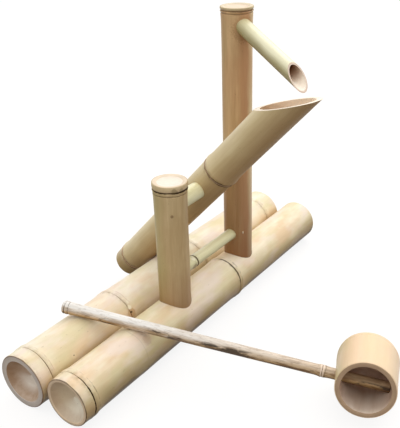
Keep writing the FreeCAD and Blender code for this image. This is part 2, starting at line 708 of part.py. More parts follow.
def make_ladle_cup():
    """The cup's own Z axis runs from its back to its mouth."""
    body = new_body("ladle_cup")
    mouth = dim.cup_mouth_radius
    back = dim.cup_back_radius
    length = dim.cup_length
    floor = dim.cup_floor
    taper = (mouth - back) / length
    node = dim.cup_node
    inside = mouth - dim.cup_wall
    section = [(back - 1.2, 0), (back, 1.2)]
    section += node_ring(back + taper * node, node, 0.5)
    section += [(mouth, length - CUP_EDGE), (mouth - CUP_EDGE, length)]
    section += [(inside + 0.8, length), (inside, length - 0.8), (back - dim.cup_wall, floor + 3)]
    section += [(back - dim.cup_wall - 3, floor), (0, floor)]
    section += [(0, floor - dim.septum), (back * 0.7, floor * 0.55), (back - dim.cup_wall, 0)]
    revolved(body, "ladle_cup", section)

    height = dim.cup_back_radius * cosine(dim.cup_rise) + dim.lift_gap - dim.node_swell
    rotation = cup_rotation()
    entry = vector(dim.handle_across, dim.handle_along, dim.handle_height)
    run = handle_rotation().multVec(FreeCAD.Vector(0, 0, 1))
    inward = rotation.inverted()
    middle = entry + run * HANDLE_TO_CUP_MIDDLE - vector(dim.cup_across, dim.cup_along, height)
    start = tuple(inward.multVec(middle))
    outward = inward.multVec(-run)
    hole = dim.handle_cup_radius + dim.glue_gap
    bored(body, "handle_hole", start, outward, hole, dim.handle_inside)
    socket = dim.handle_inside - HANDLE_TO_CUP_MIDDLE + dim.glue_gap
    bored(body, "handle_socket", start, -outward, hole, socket)
    place(body, "ladle_cup", dim.cup_across, dim.cup_along, height, rotation)


def make_ladle_handle():
    """The handle's own Z axis runs from its free end to its tip in the cup."""
    body = new_body("ladle_handle")
    cup = dim.handle_outside
    tip = dim.handle_outside + dim.handle_inside
    end = dim.handle_end_radius
    middle = dim.handle_middle_radius
    slim = dim.handle_cup_radius
    section = [(0, 0), (end - 1.6, 0), (end - 0.4, 1.2)]
    section += [(end, 3), (end - 0.7, 4), (end + 0.1, 5)]
    section += [(end - 0.2, 8.4), (end - 0.8, 9.4), (end - 0.2, 10.4)]
    section += [(middle + 0.5, cup * 0.07), (middle + 0.1, cup * 0.15), (middle, cup * 0.5)]
    section += [(slim - 0.1, cup * 0.74), (slim, cup - 24)]
    section += [(slim + 1.1, cup - 18), (slim + 0.3, cup - 16.6), (slim + 0.9, cup - 15.2), (slim, cup - 8)]
    section += [(slim, tip - 1), (slim - 1, tip), (0, tip)]
    revolved(body, "ladle_handle", section)
    rotation = handle_rotation()
    back = cosine(dim.handle_fall) * dim.handle_outside
    across = dim.handle_across - back * cosine(dim.handle_turn)
    along = dim.handle_along - back * sine(dim.handle_turn)
    height = dim.handle_height + sine(dim.handle_fall) * dim.handle_outside
    place(body, "ladle_handle", across, along, height, rotation)


make_post_pole()
make_striking_pole()
make_short_post()
make_tall_post()
make_foot_plug("short_foot_plug", dim.short_post_radius, dim.short_post_place)
make_foot_plug("tall_foot_plug", dim.tall_post_radius, dim.tall_post_place)
make_foot_screws()
make_pole_nails()
make_axle()
make_cross_bar()
axle_nail_height = dim.pivot_height - AXLE_NAIL_DROP
short_post = (dim.short_post_radius, dim.short_post_place)
make_rod_nail("axle_nail", *short_post, axle_nail_height, AXLE_NAIL_TURN, AXLE_NAIL_AIM)
bar_nail_height = dim.bar_height + BAR_NAIL_RISE
tall_post = (dim.tall_post_radius, dim.tall_post_place)
make_rod_nail("crossbar_nail", *tall_post, bar_nail_height, BAR_NAIL_TURN, BAR_NAIL_AIM)
make_rocker_tube()
make_spout()
make_supply_tube()
make_hose_tail()
make_end_bung()
make_ladle_cup()
make_ladle_handle()
doc.recompute()

for item in doc.Objects:
    if "Invalid" in item.State or "Error" in item.State:
        raise RuntimeError(f"{item.Name} failed: {item.State}")
os.makedirs(NODES_FOLDER, exist_ok=True)
for name, piece in pieces.items():
    if piece.Shape.isNull() or not piece.Shape.isValid():
        raise RuntimeError(f"{name} has no valid shape")
    piece.Shape.exportStep(os.path.join(NODES_FOLDER, f"{name}.step"))
    print(f"{name}: {len(piece.Shape.Solids)} solid, {piece.Shape.Volume:.0f} cubic mm")
whole = Part.makeCompound([piece.Shape for piece in pieces.values()]).BoundBox
print(f"box, across: {whole.XMin:.2f} to {whole.XMax:.2f}")
print(f"box, along: {whole.YMin:.2f} to {whole.YMax:.2f}")
print(f"box, height: {whole.ZMin:.2f} to {whole.ZMax:.2f}")
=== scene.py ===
"""Looks of a bamboo shishi odoshi: two base poles, two posts, a rocking tube, a spout and a ladle.

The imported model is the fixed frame. Each culm is turned anew round its own axis with the swellings,
scars and small waves of grown bamboo, cut where the real one is sawn or drilled, and put where the
frame has it. Lengths are in metres.
"""

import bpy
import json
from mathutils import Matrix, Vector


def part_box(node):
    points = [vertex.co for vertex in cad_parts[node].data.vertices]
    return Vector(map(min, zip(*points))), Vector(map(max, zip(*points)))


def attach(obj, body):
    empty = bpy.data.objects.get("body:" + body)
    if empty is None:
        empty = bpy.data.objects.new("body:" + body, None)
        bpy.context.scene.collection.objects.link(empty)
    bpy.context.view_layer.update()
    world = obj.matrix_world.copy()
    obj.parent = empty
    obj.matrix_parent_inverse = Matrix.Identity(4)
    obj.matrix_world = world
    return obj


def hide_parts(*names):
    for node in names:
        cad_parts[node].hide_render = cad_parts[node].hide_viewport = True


bl_info = {
    "name": "Shishi Odoshi",
    "version": (1, 0, 0),
    "blender": (4, 5, 0),
    "location": "View3D > Sidebar > Shishi Odoshi",
    "description": "Builds a bamboo shishi odoshi with its ladle round a packed frame",
    "category": "Add Mesh",
}

import json
import math

import bmesh
import bpy
from bpy.props import FloatProperty, FloatVectorProperty, IntProperty, PointerProperty
from mathutils import Matrix, Vector

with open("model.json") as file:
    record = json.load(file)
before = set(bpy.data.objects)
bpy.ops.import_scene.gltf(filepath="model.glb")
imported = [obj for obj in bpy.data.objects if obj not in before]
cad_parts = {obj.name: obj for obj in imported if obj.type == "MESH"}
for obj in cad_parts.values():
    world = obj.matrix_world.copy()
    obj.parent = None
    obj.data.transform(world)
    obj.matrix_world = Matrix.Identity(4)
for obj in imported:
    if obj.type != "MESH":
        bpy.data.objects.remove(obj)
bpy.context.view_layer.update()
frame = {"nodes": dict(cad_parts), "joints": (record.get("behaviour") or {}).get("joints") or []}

MM = 0.001
PATTERN = "culm"  # attribute with a point's place in its own culm, which the finishes read
SKIN, CUT, HOLLOW = 0, 1, 2  # finishes of a culm, in the order of its materials
NODE_WALL = 3.5 * MM  # wall across a thick culm at a node
FIT = 0.25 * MM  # room round a piece in its hole
NO_RIDGE = -2.0  # puts the line of a node's ridge out of reach
TO_FRONT_POLE = (0.9985, 0.056, 0)  # from the back pole's axis to the front one's, in the back pole's own axes


def node_box(name):
    """Lowest and highest corner of a node of the frame."""
    low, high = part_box(name)
    return low, high


def joint_place(name):
    """Point of a joint's axis in the frame."""
    return Vector(next(joint for joint in frame["joints"] if joint["name"] == name)["pos_m"])


def tone(code):
    """Linear colour of a colour code such as C8B894."""
    values = [int(code[i:i + 2], 16) / 255 for i in (0, 2, 4)]
    return [v / 12.92 if v <= 0.04045 else ((v + 0.055) / 1.055) ** 2.4 for v in values]


def length(name, default, text):
    """A length setting, in metres."""
    return FloatProperty(name=name, description=text, default=default, min=0.0, unit="LENGTH", precision=4)


def colour(name, code, text):
    """A colour setting, from a colour code."""
    return FloatVectorProperty(name=name, description=text, default=tone(code), size=3, min=0, max=1, subtype="COLOR")


def angle(name, degrees, text):
    """An angle setting, from degrees."""
    return FloatProperty(name=name, description=text, default=math.radians(degrees), subtype="ANGLE")


class CulmSettings(bpy.types.PropertyGroup):
    """What all culms share."""

    segments: IntProperty(name="Segments", description="Faces round a thick culm", default=112, min=24, max=256)
    waviness: length("Waviness", 0.35 * MM, "How far a culm's surface waves in and out")
    out_of_round: FloatProperty(
        name="Out of round", description="How much wider a culm is one way", default=0.006, min=0, max=0.05
    )
    node_swell: length("Node swell", 1.2 * MM, "How far a node stands out from its culm")
    scar_depth: length("Scar depth", 1.1 * MM, "Depth of the scar that a sheath leaves round a node")
    waist: length("Waist", 0.5 * MM, "How much slimmer a culm is between its nodes")
    cut_dark: colour("Cut bamboo edge", "7A5E42", "Dark edge of a sawn end")
    scar: colour("Scar", "3E2A17", "Line of a node's scar")


class BaseSettings(bpy.types.PropertyGroup):
    """The two poles that everything stands on."""

    front_radius: length("Front pole radius", 33.8 * MM, "Outside of the pole that carries the posts")
    front_wall: length("Front pole wall", 6.8 * MM, "Wall of the front pole")
    back_radius: length("Back pole radius", 37.9 * MM, "Outside of the pole that the tube knocks on")
    back_wall: length("Back pole wall", 7.5 * MM, "Wall of the back pole")
    light: colour("Lit skin", "F0E4C2", "Main colour of the base poles")
    dark: colour("Streaks", "C6AA78", "Streaks along the base poles")
    blush: colour("Blush", "E2BF94", "Peach patches on the front pole")
    peach: colour("Peach", "E9CBA6", "Peach patches on the back pole")
    green: colour("Green tint", "DACEA0", "Greenish patches on the base poles")
    # Bloom patches are partly the culm's own whitish bloom and partly painted highlights.
    bloom_and_sheen: colour("Bloom", "EDDBCE", "Whitish bloom on the base poles")
    # Khaki is painted shade on the front pole's lower side, from its middle down.
    khaki_shade: colour("Khaki", "CDBA8C", "Duller side of the front pole")
    # The three lower-side colours are painted shade, darker in three steps towards the ground.
    shade: colour("Lower sides", "8E6E3C", "Darker lower sides of the base poles")
    deep_shade: colour("Low sides", "503A20", "Still darker stripe further down on the base poles")
    lowest_shade: colour("Lowest sides", "3A2A16", "Darkest stripe, next to the ground side of the base poles")


class PostSettings(bpy.types.PropertyGroup):
    """The short post and the tall post."""

    short_radius: length("Short post radius", 23.15 * MM, "Outside of the short post")
    tall_radius: length("Tall post radius", 22.3 * MM, "Outside of the tall post")
    wall: length("Post wall", 5.0 * MM, "Wall of either post")
    flare: length("Top flare", 1.5 * MM, "How far a post's top stands out")
    short_collar: length("Short post scar", 8.9 * MM, "From the short post's top to its scar")
    short_groove: length("Short post groove", 6.4 * MM, "From the short post's scar down to its groove")
    tall_collar: length("Tall post scar", 4.7 * MM, "From the tall post's top to its scar")
    tall_groove: length("Tall post groove", 4.4 * MM, "From the tall post's scar down to its groove")
    short_light: colour("Short post skin", "D4BC90", "Main colour of the short post")
    short_dark: colour("Short post streaks", "AC8C5E", "Streaks of the short post")
    short_green: colour("Short post green", "AC9E64", "Greenish side of the short post")
    tall_light: colour("Tall post skin", "D9B788", "Main colour of the tall post")
    tall_dark: colour("Tall post streaks", "B48C60", "Streaks of the tall post")
    tall_blush: colour("Tall post blush", "C6966C", "Reddish stripe of the tall post")
    tall_pale: colour("Tall post pale side", "E2CA9E", "Paler side of the tall post")


class RockingTubeSettings(bpy.types.PropertyGroup):
    """The tube that fills, tips and knocks."""

    tilt: angle("Tilt", 47.6, "Rise of the mouth end at rest")
    radius: length("Radius", 25.5 * MM, "Outside at the axle")
    taper: FloatProperty(name="Taper", description="Growth of the radius towards the mouth", default=0.0043)
    wall: length("Wall", 4.8 * MM, "Wall of the tube")
    heel: length("Heel", 239.7 * MM, "From the axle to the heel end")
    heel_node: length("Heel node", 217.0 * MM, "From the axle to the node at the heel")
    cup_node: length("Chamber node", 37.5 * MM, "From the axle to the node under the water chamber")
    mouth_upper: length("Mouth, upper side", 149.4 * MM, "From the axle to the mouth's upper edge")
    mouth_lower: length("Mouth, lip", 233.9 * MM, "From the axle to the lip")
    axle_hole: length("Axle hole", 12.85 * MM, "Radius of the hole for the axle")
    light: colour("Skin", "D6C296", "Main colour of the rocking tube")
    dark: colour("Streaks", "B59A68", "Streaks of the rocking tube")
    # The brown of the underside is painted shade on the lower side, and it also colours the tube's brown patches.
    under: colour("Underside", "A47C52", "Brown of its lower side")
    rim: colour("Rim", "FFF2E0", "Sawn rim of its mouth")


class RodSettings(bpy.types.PropertyGroup):
    """The axle, the cross bar and the spout."""

    axle_radius: length("Axle radius", 12.5 * MM, "Outside of the axle")
    bar_radius: length("Cross bar radius", 8.8 * MM, "Outside of the cross bar")
    bar_node: length("Cross bar node", 59.5 * MM, "From its near end to its node")
    node_swell: length("Node swell", 0.9 * MM, "How far the cross bar's node stands out")
    spout_radius: length("Spout radius", 11.3 * MM, "Outside of the spout")
    spout_wall: length("Spout wall", 2.6 * MM, "Wall of the spout")
    spout_height: length("Spout height", 431.6 * MM, "Where the spout crosses the tall post's axis")
    spout_turn: angle("Spout turn", 60, "Turn from the near end's direction towards the mouth's side")
    spout_drop: angle("Spout drop", 15, "Fall below level")
    spout_tail: length("Spout tail", 12.0 * MM, "Length behind the tall post's axis")
    spout_upper: length("Spout, upper side", 149.0 * MM, "From the post's axis to the end on top")
    spout_lower: length("Spout, lip", 186.6 * MM, "From the post's axis to the lip")
    light: colour("Skin", "E6DFB2", "Pale skin of the cross bar and the spout")
    dark: colour("Streaks", "C4BA8A", "Streaks of the cross bar and the spout")
    axle_light: colour("Axle skin", "FFFAD0", "Pale green skin of the axle")
    axle_dark: colour("Axle streaks", "F0E8B4", "Streaks of the axle")
    rim: colour("Rim", "F2DECC", "Sawn end of the spout")


class LadleSettings(bpy.types.PropertyGroup):
    """The cup and the handle."""

    mouth_radius: length("Mouth radius", 37.0 * MM, "Cup, outside at the mouth")
    back_radius: length("Back radius", 39.8 * MM, "Cup, outside at the back")
    wall: length("Wall", 6.6 * MM, "Wall of the cup")
    cup_length: length("Cup length", 84.4 * MM, "Cup, back to mouth")
    cup_floor: length("Floor", 12.0 * MM, "From the cup's back to the inside of its floor")
    cup_turn: angle("Cup turn", 20.2, "Turn of the mouth from the near end's direction")
    cup_rise: angle("Cup rise", 11.7, "Rise of the mouth")
    handle_turn: angle("Handle turn", 18.56, "Turn of the handle from the mouth's side")
    handle_fall: angle("Handle fall", 6.3, "Fall of the handle towards the cup")
    handle_outside: length("Handle outside", 374.9 * MM, "From the free end to the cup")
    handle_inside: length("Handle inside", 68.6 * MM, "From the cup's outside to the tip")
    handle_end: length("Handle end", 9.0 * MM, "Radius at the free end")
    handle_middle: length("Handle middle", 7.75 * MM, "Radius at the middle")
    handle_slim: length("Handle at the cup", 7.1 * MM, "Radius where it enters the cup")
    light: colour("Cup skin", "EDD3AC", "Main colour of the cup")
    dark: colour("Cup streaks", "E2C296", "Streaks of the cup")
    blush: colour("Cup blush", "EECBAE", "Pinkish side of the cup")
    # The dark inside is partly painted shade, with painted light on the lower wall.
    inside: colour("Cup inside", "BC947A", "Dark inside of the cup")
    cane: colour("Cane", "F8F4EE", "Whitish skin of the handle")
    # The tan lower side of the handle is partly painted shade.
    cane_tan: colour("Cane tan", "BE9862", "Tan lower side of the handle")
    cane_brown: colour("Cane brown", "7A5834", "Brown mottles of the handle")
    cane_grey: colour("Cane grey", "BDB4A4", "Grey dirt on the handle")
    cane_dirt: colour("Cane dirt", "35281C", "Dark blotches of the handle")


class SmallPartSettings(bpy.types.PropertyGroup):
    """Nails, screws, plugs and the water tube."""

    nail: colour("Nails", "4A3E34", "Dull dark wire nails")
    small_nail: colour("Axle nail", "A88C64", "The nail in the short post, browned with age")
    pale_nail: colour("Pale nail", "E8D2B0", "The nail in the tall post, dusted with wood")
    screw: colour("Screws", "9A9A98", "Zinc plated screws")
    softwood: colour("Softwood", "C9A26A", "Plugs and bung")
    tube: colour("Water tube", "C7CCCB", "Soft clear hose plastic")
    tail: colour("Hose tail", "1D1D1D", "Black plastic")


class StageSettings(bpy.types.PropertyGroup):
    """Floor, lights and camera."""

    camera_x: FloatProperty(name="Camera X", description="Camera, across", default=0.4657, unit="LENGTH")
    camera_y: FloatProperty(name="Camera Y", description="Camera, along", default=-0.7679, unit="LENGTH")
    camera_z: FloatProperty(name="Camera Z", description="Camera, height", default=0.6285, unit="LENGTH")
    yaw: angle("Yaw", -35.875, "Turn of the view from +Y towards +X")
    pitch: angle("Pitch", 26.061, "Fall of the view below level")
    roll: angle("Roll", -1.783, "Turn of the picture")
    focal: FloatProperty(name="Focal length", description="In picture widths", default=714.03 / 400)
    key: FloatProperty(name="Overhead light", description="Power of the overhead light, in watts", default=13.0)
    zenith: FloatProperty(name="Sky overhead", description="Strength of the even light from above", default=1.25)
    horizon: FloatProperty(
        name="Sky at the side", description="Strength of the even light from the sides", default=0.72
    )


class ShishiOdoshiSettings(bpy.types.PropertyGroup):
    """All sizes and colours of the piece."""

    culm: PointerProperty(type=CulmSettings)
    base: PointerProperty(type=BaseSettings)
    posts: PointerProperty(type=PostSettings)
    rocker: PointerProperty(type=RockingTubeSettings)
    rods: PointerProperty(type=RodSettings)
    ladle: PointerProperty(type=LadleSettings)
    small: PointerProperty(type=SmallPartSettings)
    stage: PointerProperty(type=StageSettings)


# Shape of a node: distance past its scar in mm and share of its swell, with the scar's groove in the middle
BELOW_SCAR = ((-16, 0.0), (-9, 0.15), (-5, 0.35), (-2.6, 0.55), (-1.5, 0.75), (-0.8, 0.8))
ABOVE_SCAR = ((1.0, 0.2), (2.0, 0.45), (3.6, 0.85), (5.2, 1.0), (6.8, 0.9), (9, 0.5), (12, 0.2), (17, 0.0))


def waisted(radius, nodes, end, waist):
    """Radius along a culm that is slimmer between its nodes, and less so where they are close."""
    stops = [0.0, *sorted(nodes), end]
    full_length = 80 * MM

    def radius_at(z):
        low, high = next(pair for pair in zip(stops, stops[1:]) if z <= pair[1] or pair[1] == end)
        off_middle = 2 * min(1.0, max(0.0, (z - low) / (high - low))) - 1
        return radius - waist * min(1.0, (high - low) / full_length) * (1 - off_middle**4)

    return radius_at


def culm_outside(end, radius_at, nodes, swell, groove=0.0, start=0.0):
    """Outside of a culm from start to end, as radius and distance.

    nodes are its nodes, each a distance and 1, or -1 where the swelling above the scar is on the near side.
    """
    step = 8 * MM
    places = [start + i * step for i in range(int((end - start) / step) + 1)] + [end]
    reach = ABOVE_SCAR[-1][0] * MM
    free = [z for z in places if all(abs(z - node) > reach for node, way in nodes)]
    line = [(z, radius_at(z)) for z in free]
    for node, way in nodes:
        shape = [(past, swell * rise) for past, rise in BELOW_SCAR + ABOVE_SCAR]
        shape += [(-0.45, -groove), (0.4, -groove)]
        for past, rise in shape:
            z = node + way * past * MM
            if start + 0.2 * MM < z < end - 0.2 * MM:
                line.append((z, radius_at(z) + rise))
    if start not in free:
        line.append((start, radius_at(start)))
    if end not in free:
        line.append((end, radius_at(end)))
    return [(radius, z) for z, radius in sorted(set(line))]


def inside_of(start, end, bore_at, nodes, wall):
    """Inside of a culm from its far end back to its near end, with the wall across at each node."""
    half = wall / 2
    slant = 3 * MM
    line = [(bore_at(end), end)]
    for node in sorted(nodes, reverse=True):
        bore = bore_at(node)
        line += [(bore, node + half + slant), (bore - slant, node + half), (0, node + half)]
        line += [(0, node - half), (bore - slant, node - half), (bore, node - half - slant)]
    line.append((bore_at(start), start))
    return line


def input_socket(tree, name, kind, default=None):
    """Give a node tree an input."""
    socket = tree.interface.new_socket(name=name, in_out="INPUT", socket_type=kind)
    if default is not None:
        socket.default_value = default
    return socket


class Graph:
    """Shortcuts for building a node tree."""

    def __init__(self, tree):
        self.tree = tree

    def node(self, kind, inputs=(), **options):
        """A new node with its options set and its inputs linked or filled in."""
        made = self.tree.nodes.new(kind)
        for name, value in options.items():
            setattr(made, name, value)
        for key, value in dict(inputs).items():
            self.feed(made.inputs[key], value)
        return made

    def feed(self, socket, value):
        """Link an output to an input, or fill in a plain value."""
        if isinstance(value, bpy.types.NodeSocket):
            self.tree.links.new(value, socket)
        else:
            socket.default_value = value

    def math(self, operation, a, b=0.0, clamp=False):
        return self.node("ShaderNodeMath", {0: a, 1: b}, operation=operation, use_clamp=clamp).outputs[0]

    def vector_math(self, operation, a, b=(0, 0, 0), output="Vector"):
        return self.node("ShaderNodeVectorMath", {0: a, 1: b}, operation=operation).outputs[output]

    def remap(self, value, low, high, to_low=0.0, to_high=1.0):
        """A value stretched from one range to another, and held at its ends."""
        inputs = {"Value": value, "From Min": low, "From Max": high, "To Min": to_low, "To Max": to_high}
        return self.node("ShaderNodeMapRange", inputs, clamp=True).outputs["Result"]

    def mix(self, factor, a, b, blend="MIX"):
        """Two colours mixed. The node's inputs 0, 6 and 7 and its output 2 are those for colours."""
        made = self.node("ShaderNodeMix", data_type="RGBA", blend_type=blend, clamp_factor=True)
        self.feed(made.inputs[0], factor)
        self.feed(made.inputs[6], a)
        self.feed(made.inputs[7], b)
        return made.outputs[2]

    def noise(self, place, scale, detail=2.0, roughness=0.5):
        inputs = {"Vector": place, "Scale": scale, "Detail": detail, "Roughness": roughness}
        return self.node("ShaderNodeTexNoise", inputs).outputs[0]

    def group(self, name, build, inputs):
        """The outputs of a shader group, which is built at its first use."""
        tree = bpy.data.node_groups.get(name) or build(name)
        return self.node("ShaderNodeGroup", inputs, node_tree=tree).outputs


def culm_tree():
    """Turns an outline, given as a line of points at radius X and distance Z, into a grown culm."""
    tree = bpy.data.node_groups.new("Grown culm", "GeometryNodeTree")
    input_socket(tree, "Outline", "NodeSocketGeometry")
    input_socket(tree, "Segments", "NodeSocketInt", 96)
    input_socket(tree, "Waviness", "NodeSocketFloat", 0.0003)
    input_socket(tree, "Out of round", "NodeSocketFloat", 0.005)
    input_socket(tree, "Seed", "NodeSocketFloat", 0.0)
    input_socket(tree, "Material", "NodeSocketMaterial")
    tree.interface.new_socket(name="Culm", in_out="OUTPUT", socket_type="NodeSocketGeometry")
    g = Graph(tree)
    given = g.node("NodeGroupInput").outputs
    count = g.node("GeometryNodeAttributeDomainSize", {0: given["Outline"]}, component="MESH").outputs["Point Count"]
    columns = g.math("ADD", given["Segments"], 1)
    sheet = g.node("GeometryNodeMeshGrid", {"Vertices X": columns, "Vertices Y": count})
    index = g.node("GeometryNodeInputIndex").outputs[0]
    column = g.math("FLOOR", g.math("DIVIDE", index, count))
    row = g.math("SUBTRACT", index, g.math("MULTIPLY", column, count))
    position = g.node("GeometryNodeInputPosition").outputs[0]
    sample = g.node("GeometryNodeSampleIndex", data_type="FLOAT_VECTOR", domain="POINT")
    g.feed(sample.inputs["Geometry"], given["Outline"])
    g.feed(sample.inputs["Value"], position)
    g.feed(sample.inputs["Index"], row)
    point = g.node("ShaderNodeSeparateXYZ", {0: sample.outputs[0]}).outputs
    turn = g.math("MULTIPLY", g.math("DIVIDE", column, given["Segments"]), 2 * math.pi)
    cosine = g.math("COSINE", turn)
    sine = g.math("SINE", turn)
    along = g.math("MULTIPLY", point[2], 9.0)
    place = g.node("ShaderNodeCombineXYZ", {0: cosine, 1: sine, 2: g.math("ADD", along, given["Seed"])}).outputs[0]
    wave = g.math("MULTIPLY", g.math("SUBTRACT", g.noise(place, 1.3), 0.5), 2.0)
    wave = g.math("MULTIPLY", wave, given["Waviness"])
    lean = g.math("COSINE", g.math("MULTIPLY", g.math("ADD", turn, given["Seed"]), 2.0))
    oval = g.math("MULTIPLY", g.math("MULTIPLY", lean, given["Out of round"]), point[0])
    off_axis = g.remap(point[0], 0.0, 4 * MM)
    change = g.math("MULTIPLY", g.math("ADD", wave, oval), off_axis)
    radius = g.math("ADD", point[0], change)
    across = g.math("MULTIPLY", radius, cosine)
    up = g.math("MULTIPLY", radius, sine)
    moved = g.node("ShaderNodeCombineXYZ", {0: across, 1: up, 2: point[2]}).outputs[0]
    placed = g.node("GeometryNodeSetPosition", {"Geometry": sheet.outputs["Mesh"], "Position": moved})
    joined = g.node("GeometryNodeMergeByDistance", {"Geometry": placed.outputs[0], "Distance": 0.000002})
    real = g.node("GeometryNodeRealizeInstances", {"Geometry": joined.outputs[0]})
    finished = g.node("GeometryNodeSetMaterial", {"Geometry": real.outputs[0], "Material": given["Material"]})
    g.node("NodeGroupOutput", {0: finished.outputs[0]})
    return tree


def linked(name, data):
    """A new object in the scene, from its mesh, light or camera."""
    made = bpy.data.objects.new(name, data)
    bpy.context.scene.collection.objects.link(made)
    return made


def flattened(obj):
    """Replace an object's mesh and modifiers by the mesh that they give."""
    bpy.context.view_layer.update()
    graph = bpy.context.evaluated_depsgraph_get()
    mesh = bpy.data.meshes.new_from_object(obj.evaluated_get(graph))
    old = obj.data
    obj.modifiers.clear()
    obj.data = mesh
    bpy.data.meshes.remove(old)
    return obj


def faced_outwards(obj):
    """Drop loose points and turn all faces round if the whole points inwards.

    The faces of a turned outline all follow its one line, so cavities inside point the right way too.
    """
    work = bmesh.new()
    work.from_mesh(obj.data)
    bmesh.ops.dissolve_degenerate(work, dist=0.000001, edges=work.edges)
    loose = [edge for edge in work.edges if not edge.link_faces]
    bmesh.ops.delete(work, geom=loose, context="EDGES")
    lone = [vert for vert in work.verts if not vert.link_edges]
    bmesh.ops.delete(work, geom=lone, context="VERTS")
    if work.calc_volume(signed=True) < 0:
        bmesh.ops.reverse_faces(work, faces=work.faces)
    work.to_mesh(obj.data)
    work.free()
    return obj


def grown_culm(name, outline, settings, seed, segments=None, waviness=None, out_of_round=None):
    """A culm in its own place, its axis on Z, from an outline of radius and distance."""
    mesh = bpy.data.meshes.new(name)
    points = [(radius, 0, distance) for radius, distance in outline]
    mesh.from_pydata(points, [(i, i + 1) for i in range(len(points) - 1)], [])
    obj = linked(name, mesh)
    tree = bpy.data.node_groups.get("Grown culm") or culm_tree()
    turning = obj.modifiers.new("Grown culm", "NODES")
    turning.node_group = tree
    sockets = {item.name: item.identifier for item in tree.interface.items_tree if item.in_out == "INPUT"}
    turning[sockets["Segments"]] = segments or settings.segments
    turning[sockets["Waviness"]] = settings.waviness if waviness is None else waviness
    turning[sockets["Out of round"]] = settings.out_of_round if out_of_round is None else out_of_round
    turning[sockets["Seed"]] = seed
    return faced_outwards(flattened(obj))


def drill(start, direction, radius, reach, segments=64):
    """A round cutter from a point along a direction."""
    work = bmesh.new()
    bmesh.ops.create_cone(work, cap_ends=True, segments=segments, radius1=radius, radius2=radius, depth=reach)
    turn = Vector((0, 0, 1)).rotation_difference(Vector(direction)).to_matrix().to_4x4()
    move = Matrix.Translation(Vector(start)) @ turn @ Matrix.Translation((0, 0, reach / 2))
    work.transform(move)
    return cutter(work)


def slanted_saw(axis_in, upper, lower, radius):
    """A cutter that takes off an end along the plane through an upper and a lower point.

    axis_in is the direction of the lower side, square to the culm's axis.
    """
    side = Vector(axis_in).normalized()
    across = Vector((0, 0, 1)).cross(side)
    slope = (lower - upper) / (2 * radius)
    reach = radius * 2.2
    far = lower + reach * 1.5
    corners = []
    for sideways in (-reach, reach):
        for at, height in ((-reach, None), (reach, None), (reach, far), (-reach, far)):
            z = (upper + lower) / 2 + slope * at if height is None else height
            corners.append(side * at + across * sideways + Vector((0, 0, z)))
    work = bmesh.new()
    verts = [work.verts.new(corner) for corner in corners]
    for face in ((3, 2, 1, 0), (4, 5, 6, 7), (0, 1, 5, 4), (1, 2, 6, 5), (2, 3, 7, 6), (3, 0, 4, 7)):
        work.faces.new([verts[i] for i in face])
    return cutter(work)


def cutter(work):
    """A closed shape made an object that carved can use."""
    bmesh.ops.recalc_face_normals(work, faces=work.faces)
    mesh = bpy.data.meshes.new("cutter")
    work.to_mesh(mesh)
    work.free()
    return linked("cutter", mesh)


def carved(obj, cutters):
    """Cut a piece by each cutter in turn."""
    for tool in cutters:
        cut = obj.modifiers.new("Cut", "BOOLEAN")
        cut.operation = "DIFFERENCE"
        cut.solver = "EXACT"
        cut.object = tool
    flattened(obj)
    for tool in cutters:
        mesh = tool.data
        bpy.data.objects.remove(tool)
        bpy.data.meshes.remove(mesh)
    if not obj.data.polygons:
        raise RuntimeError(f"{obj.name} was cut away")
    return obj


def swollen(obj, bumps):
    """Push out small bumps.

    Each is a distance along the culm, a turn, a rise, a width, a length and the least radius that it moves.
    """
    for vert in obj.data.vertices:
        radius = math.hypot(vert.co.x, vert.co.y)
        if radius < 5 * MM:
            continue
        turn = math.atan2(vert.co.y, vert.co.x)
        for at, side, rise, width, along, least in bumps:
            if radius < least:
                continue
            gap = (turn - side + math.pi) % (2 * math.pi) - math.pi
            near = math.exp(-((gap * radius / width) ** 2) - ((vert.co.z - at) / along) ** 2)
            grow = 1 + rise * near / radius
            vert.co.x *= grow
            vert.co.y *= grow
    return obj


def pressed(obj, direction, reach):
    """Keep a piece from going further than this in a direction, where something else lies against it."""
    direction = Vector(direction).normalized()
    for vert in obj.data.vertices:
        over = vert.co.dot(direction) - reach
        if over > 0:
            vert.co -= direction * over
    return obj


def settle(obj, local, body, replaced, materials, kind_of):
    """Give a finished culm its pattern, finishes, place and body, and hide the frame's pieces that it replaces."""
    mesh = obj.data
    mesh.materials.clear()
    for material in materials:
        mesh.materials.append(material)
    kinds = [kind_of(face.center, face.normal) for face in mesh.polygons]
    mesh.polygons.foreach_set("material_index", [min(kind, len(materials) - 1) for kind in kinds])
    for stale in [layer.name for layer in mesh.attributes if layer.name == PATTERN]:
        mesh.attributes.remove(mesh.attributes[stale])
    pattern = mesh.attributes.new(PATTERN, "FLOAT_VECTOR", "POINT")
    pattern.data.foreach_set("vector", [value for vert in mesh.vertices for value in vert.co])
    mesh.transform(local)
    mesh.shade_smooth()
    mesh.set_sharp_from_angle(angle=math.radians(32))
    mesh.update()
    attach(obj, body)
    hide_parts(*replaced)
    return obj


def culm_kinds(radius_at, ends=(), slope=None):
    """Tell skin, sawn faces and hollow apart by a face's place and direction in the culm.

    ends are where it is sawn square, and slope is the direction that a slanted sawn end faces.
    """
    skin_depth = 2.2 * MM
    sawn_depth = 1.2 * MM

    def kind_of(centre, normal):
        out = Vector((centre.x, centre.y, 0))
        radius = out.length
        outward = normal.dot(out / radius) if radius > 1e-6 else 0.0
        if slope is not None and normal.dot(slope) > 0.98:
            return CUT
        if outward > 0.35 and radius > radius_at(centre.z) - skin_depth:
            return SKIN
        if any(abs(centre.z - end) < sawn_depth for end in ends) and abs(normal.z) > 0.5:
            return CUT
        return HOLLOW

    return kind_of


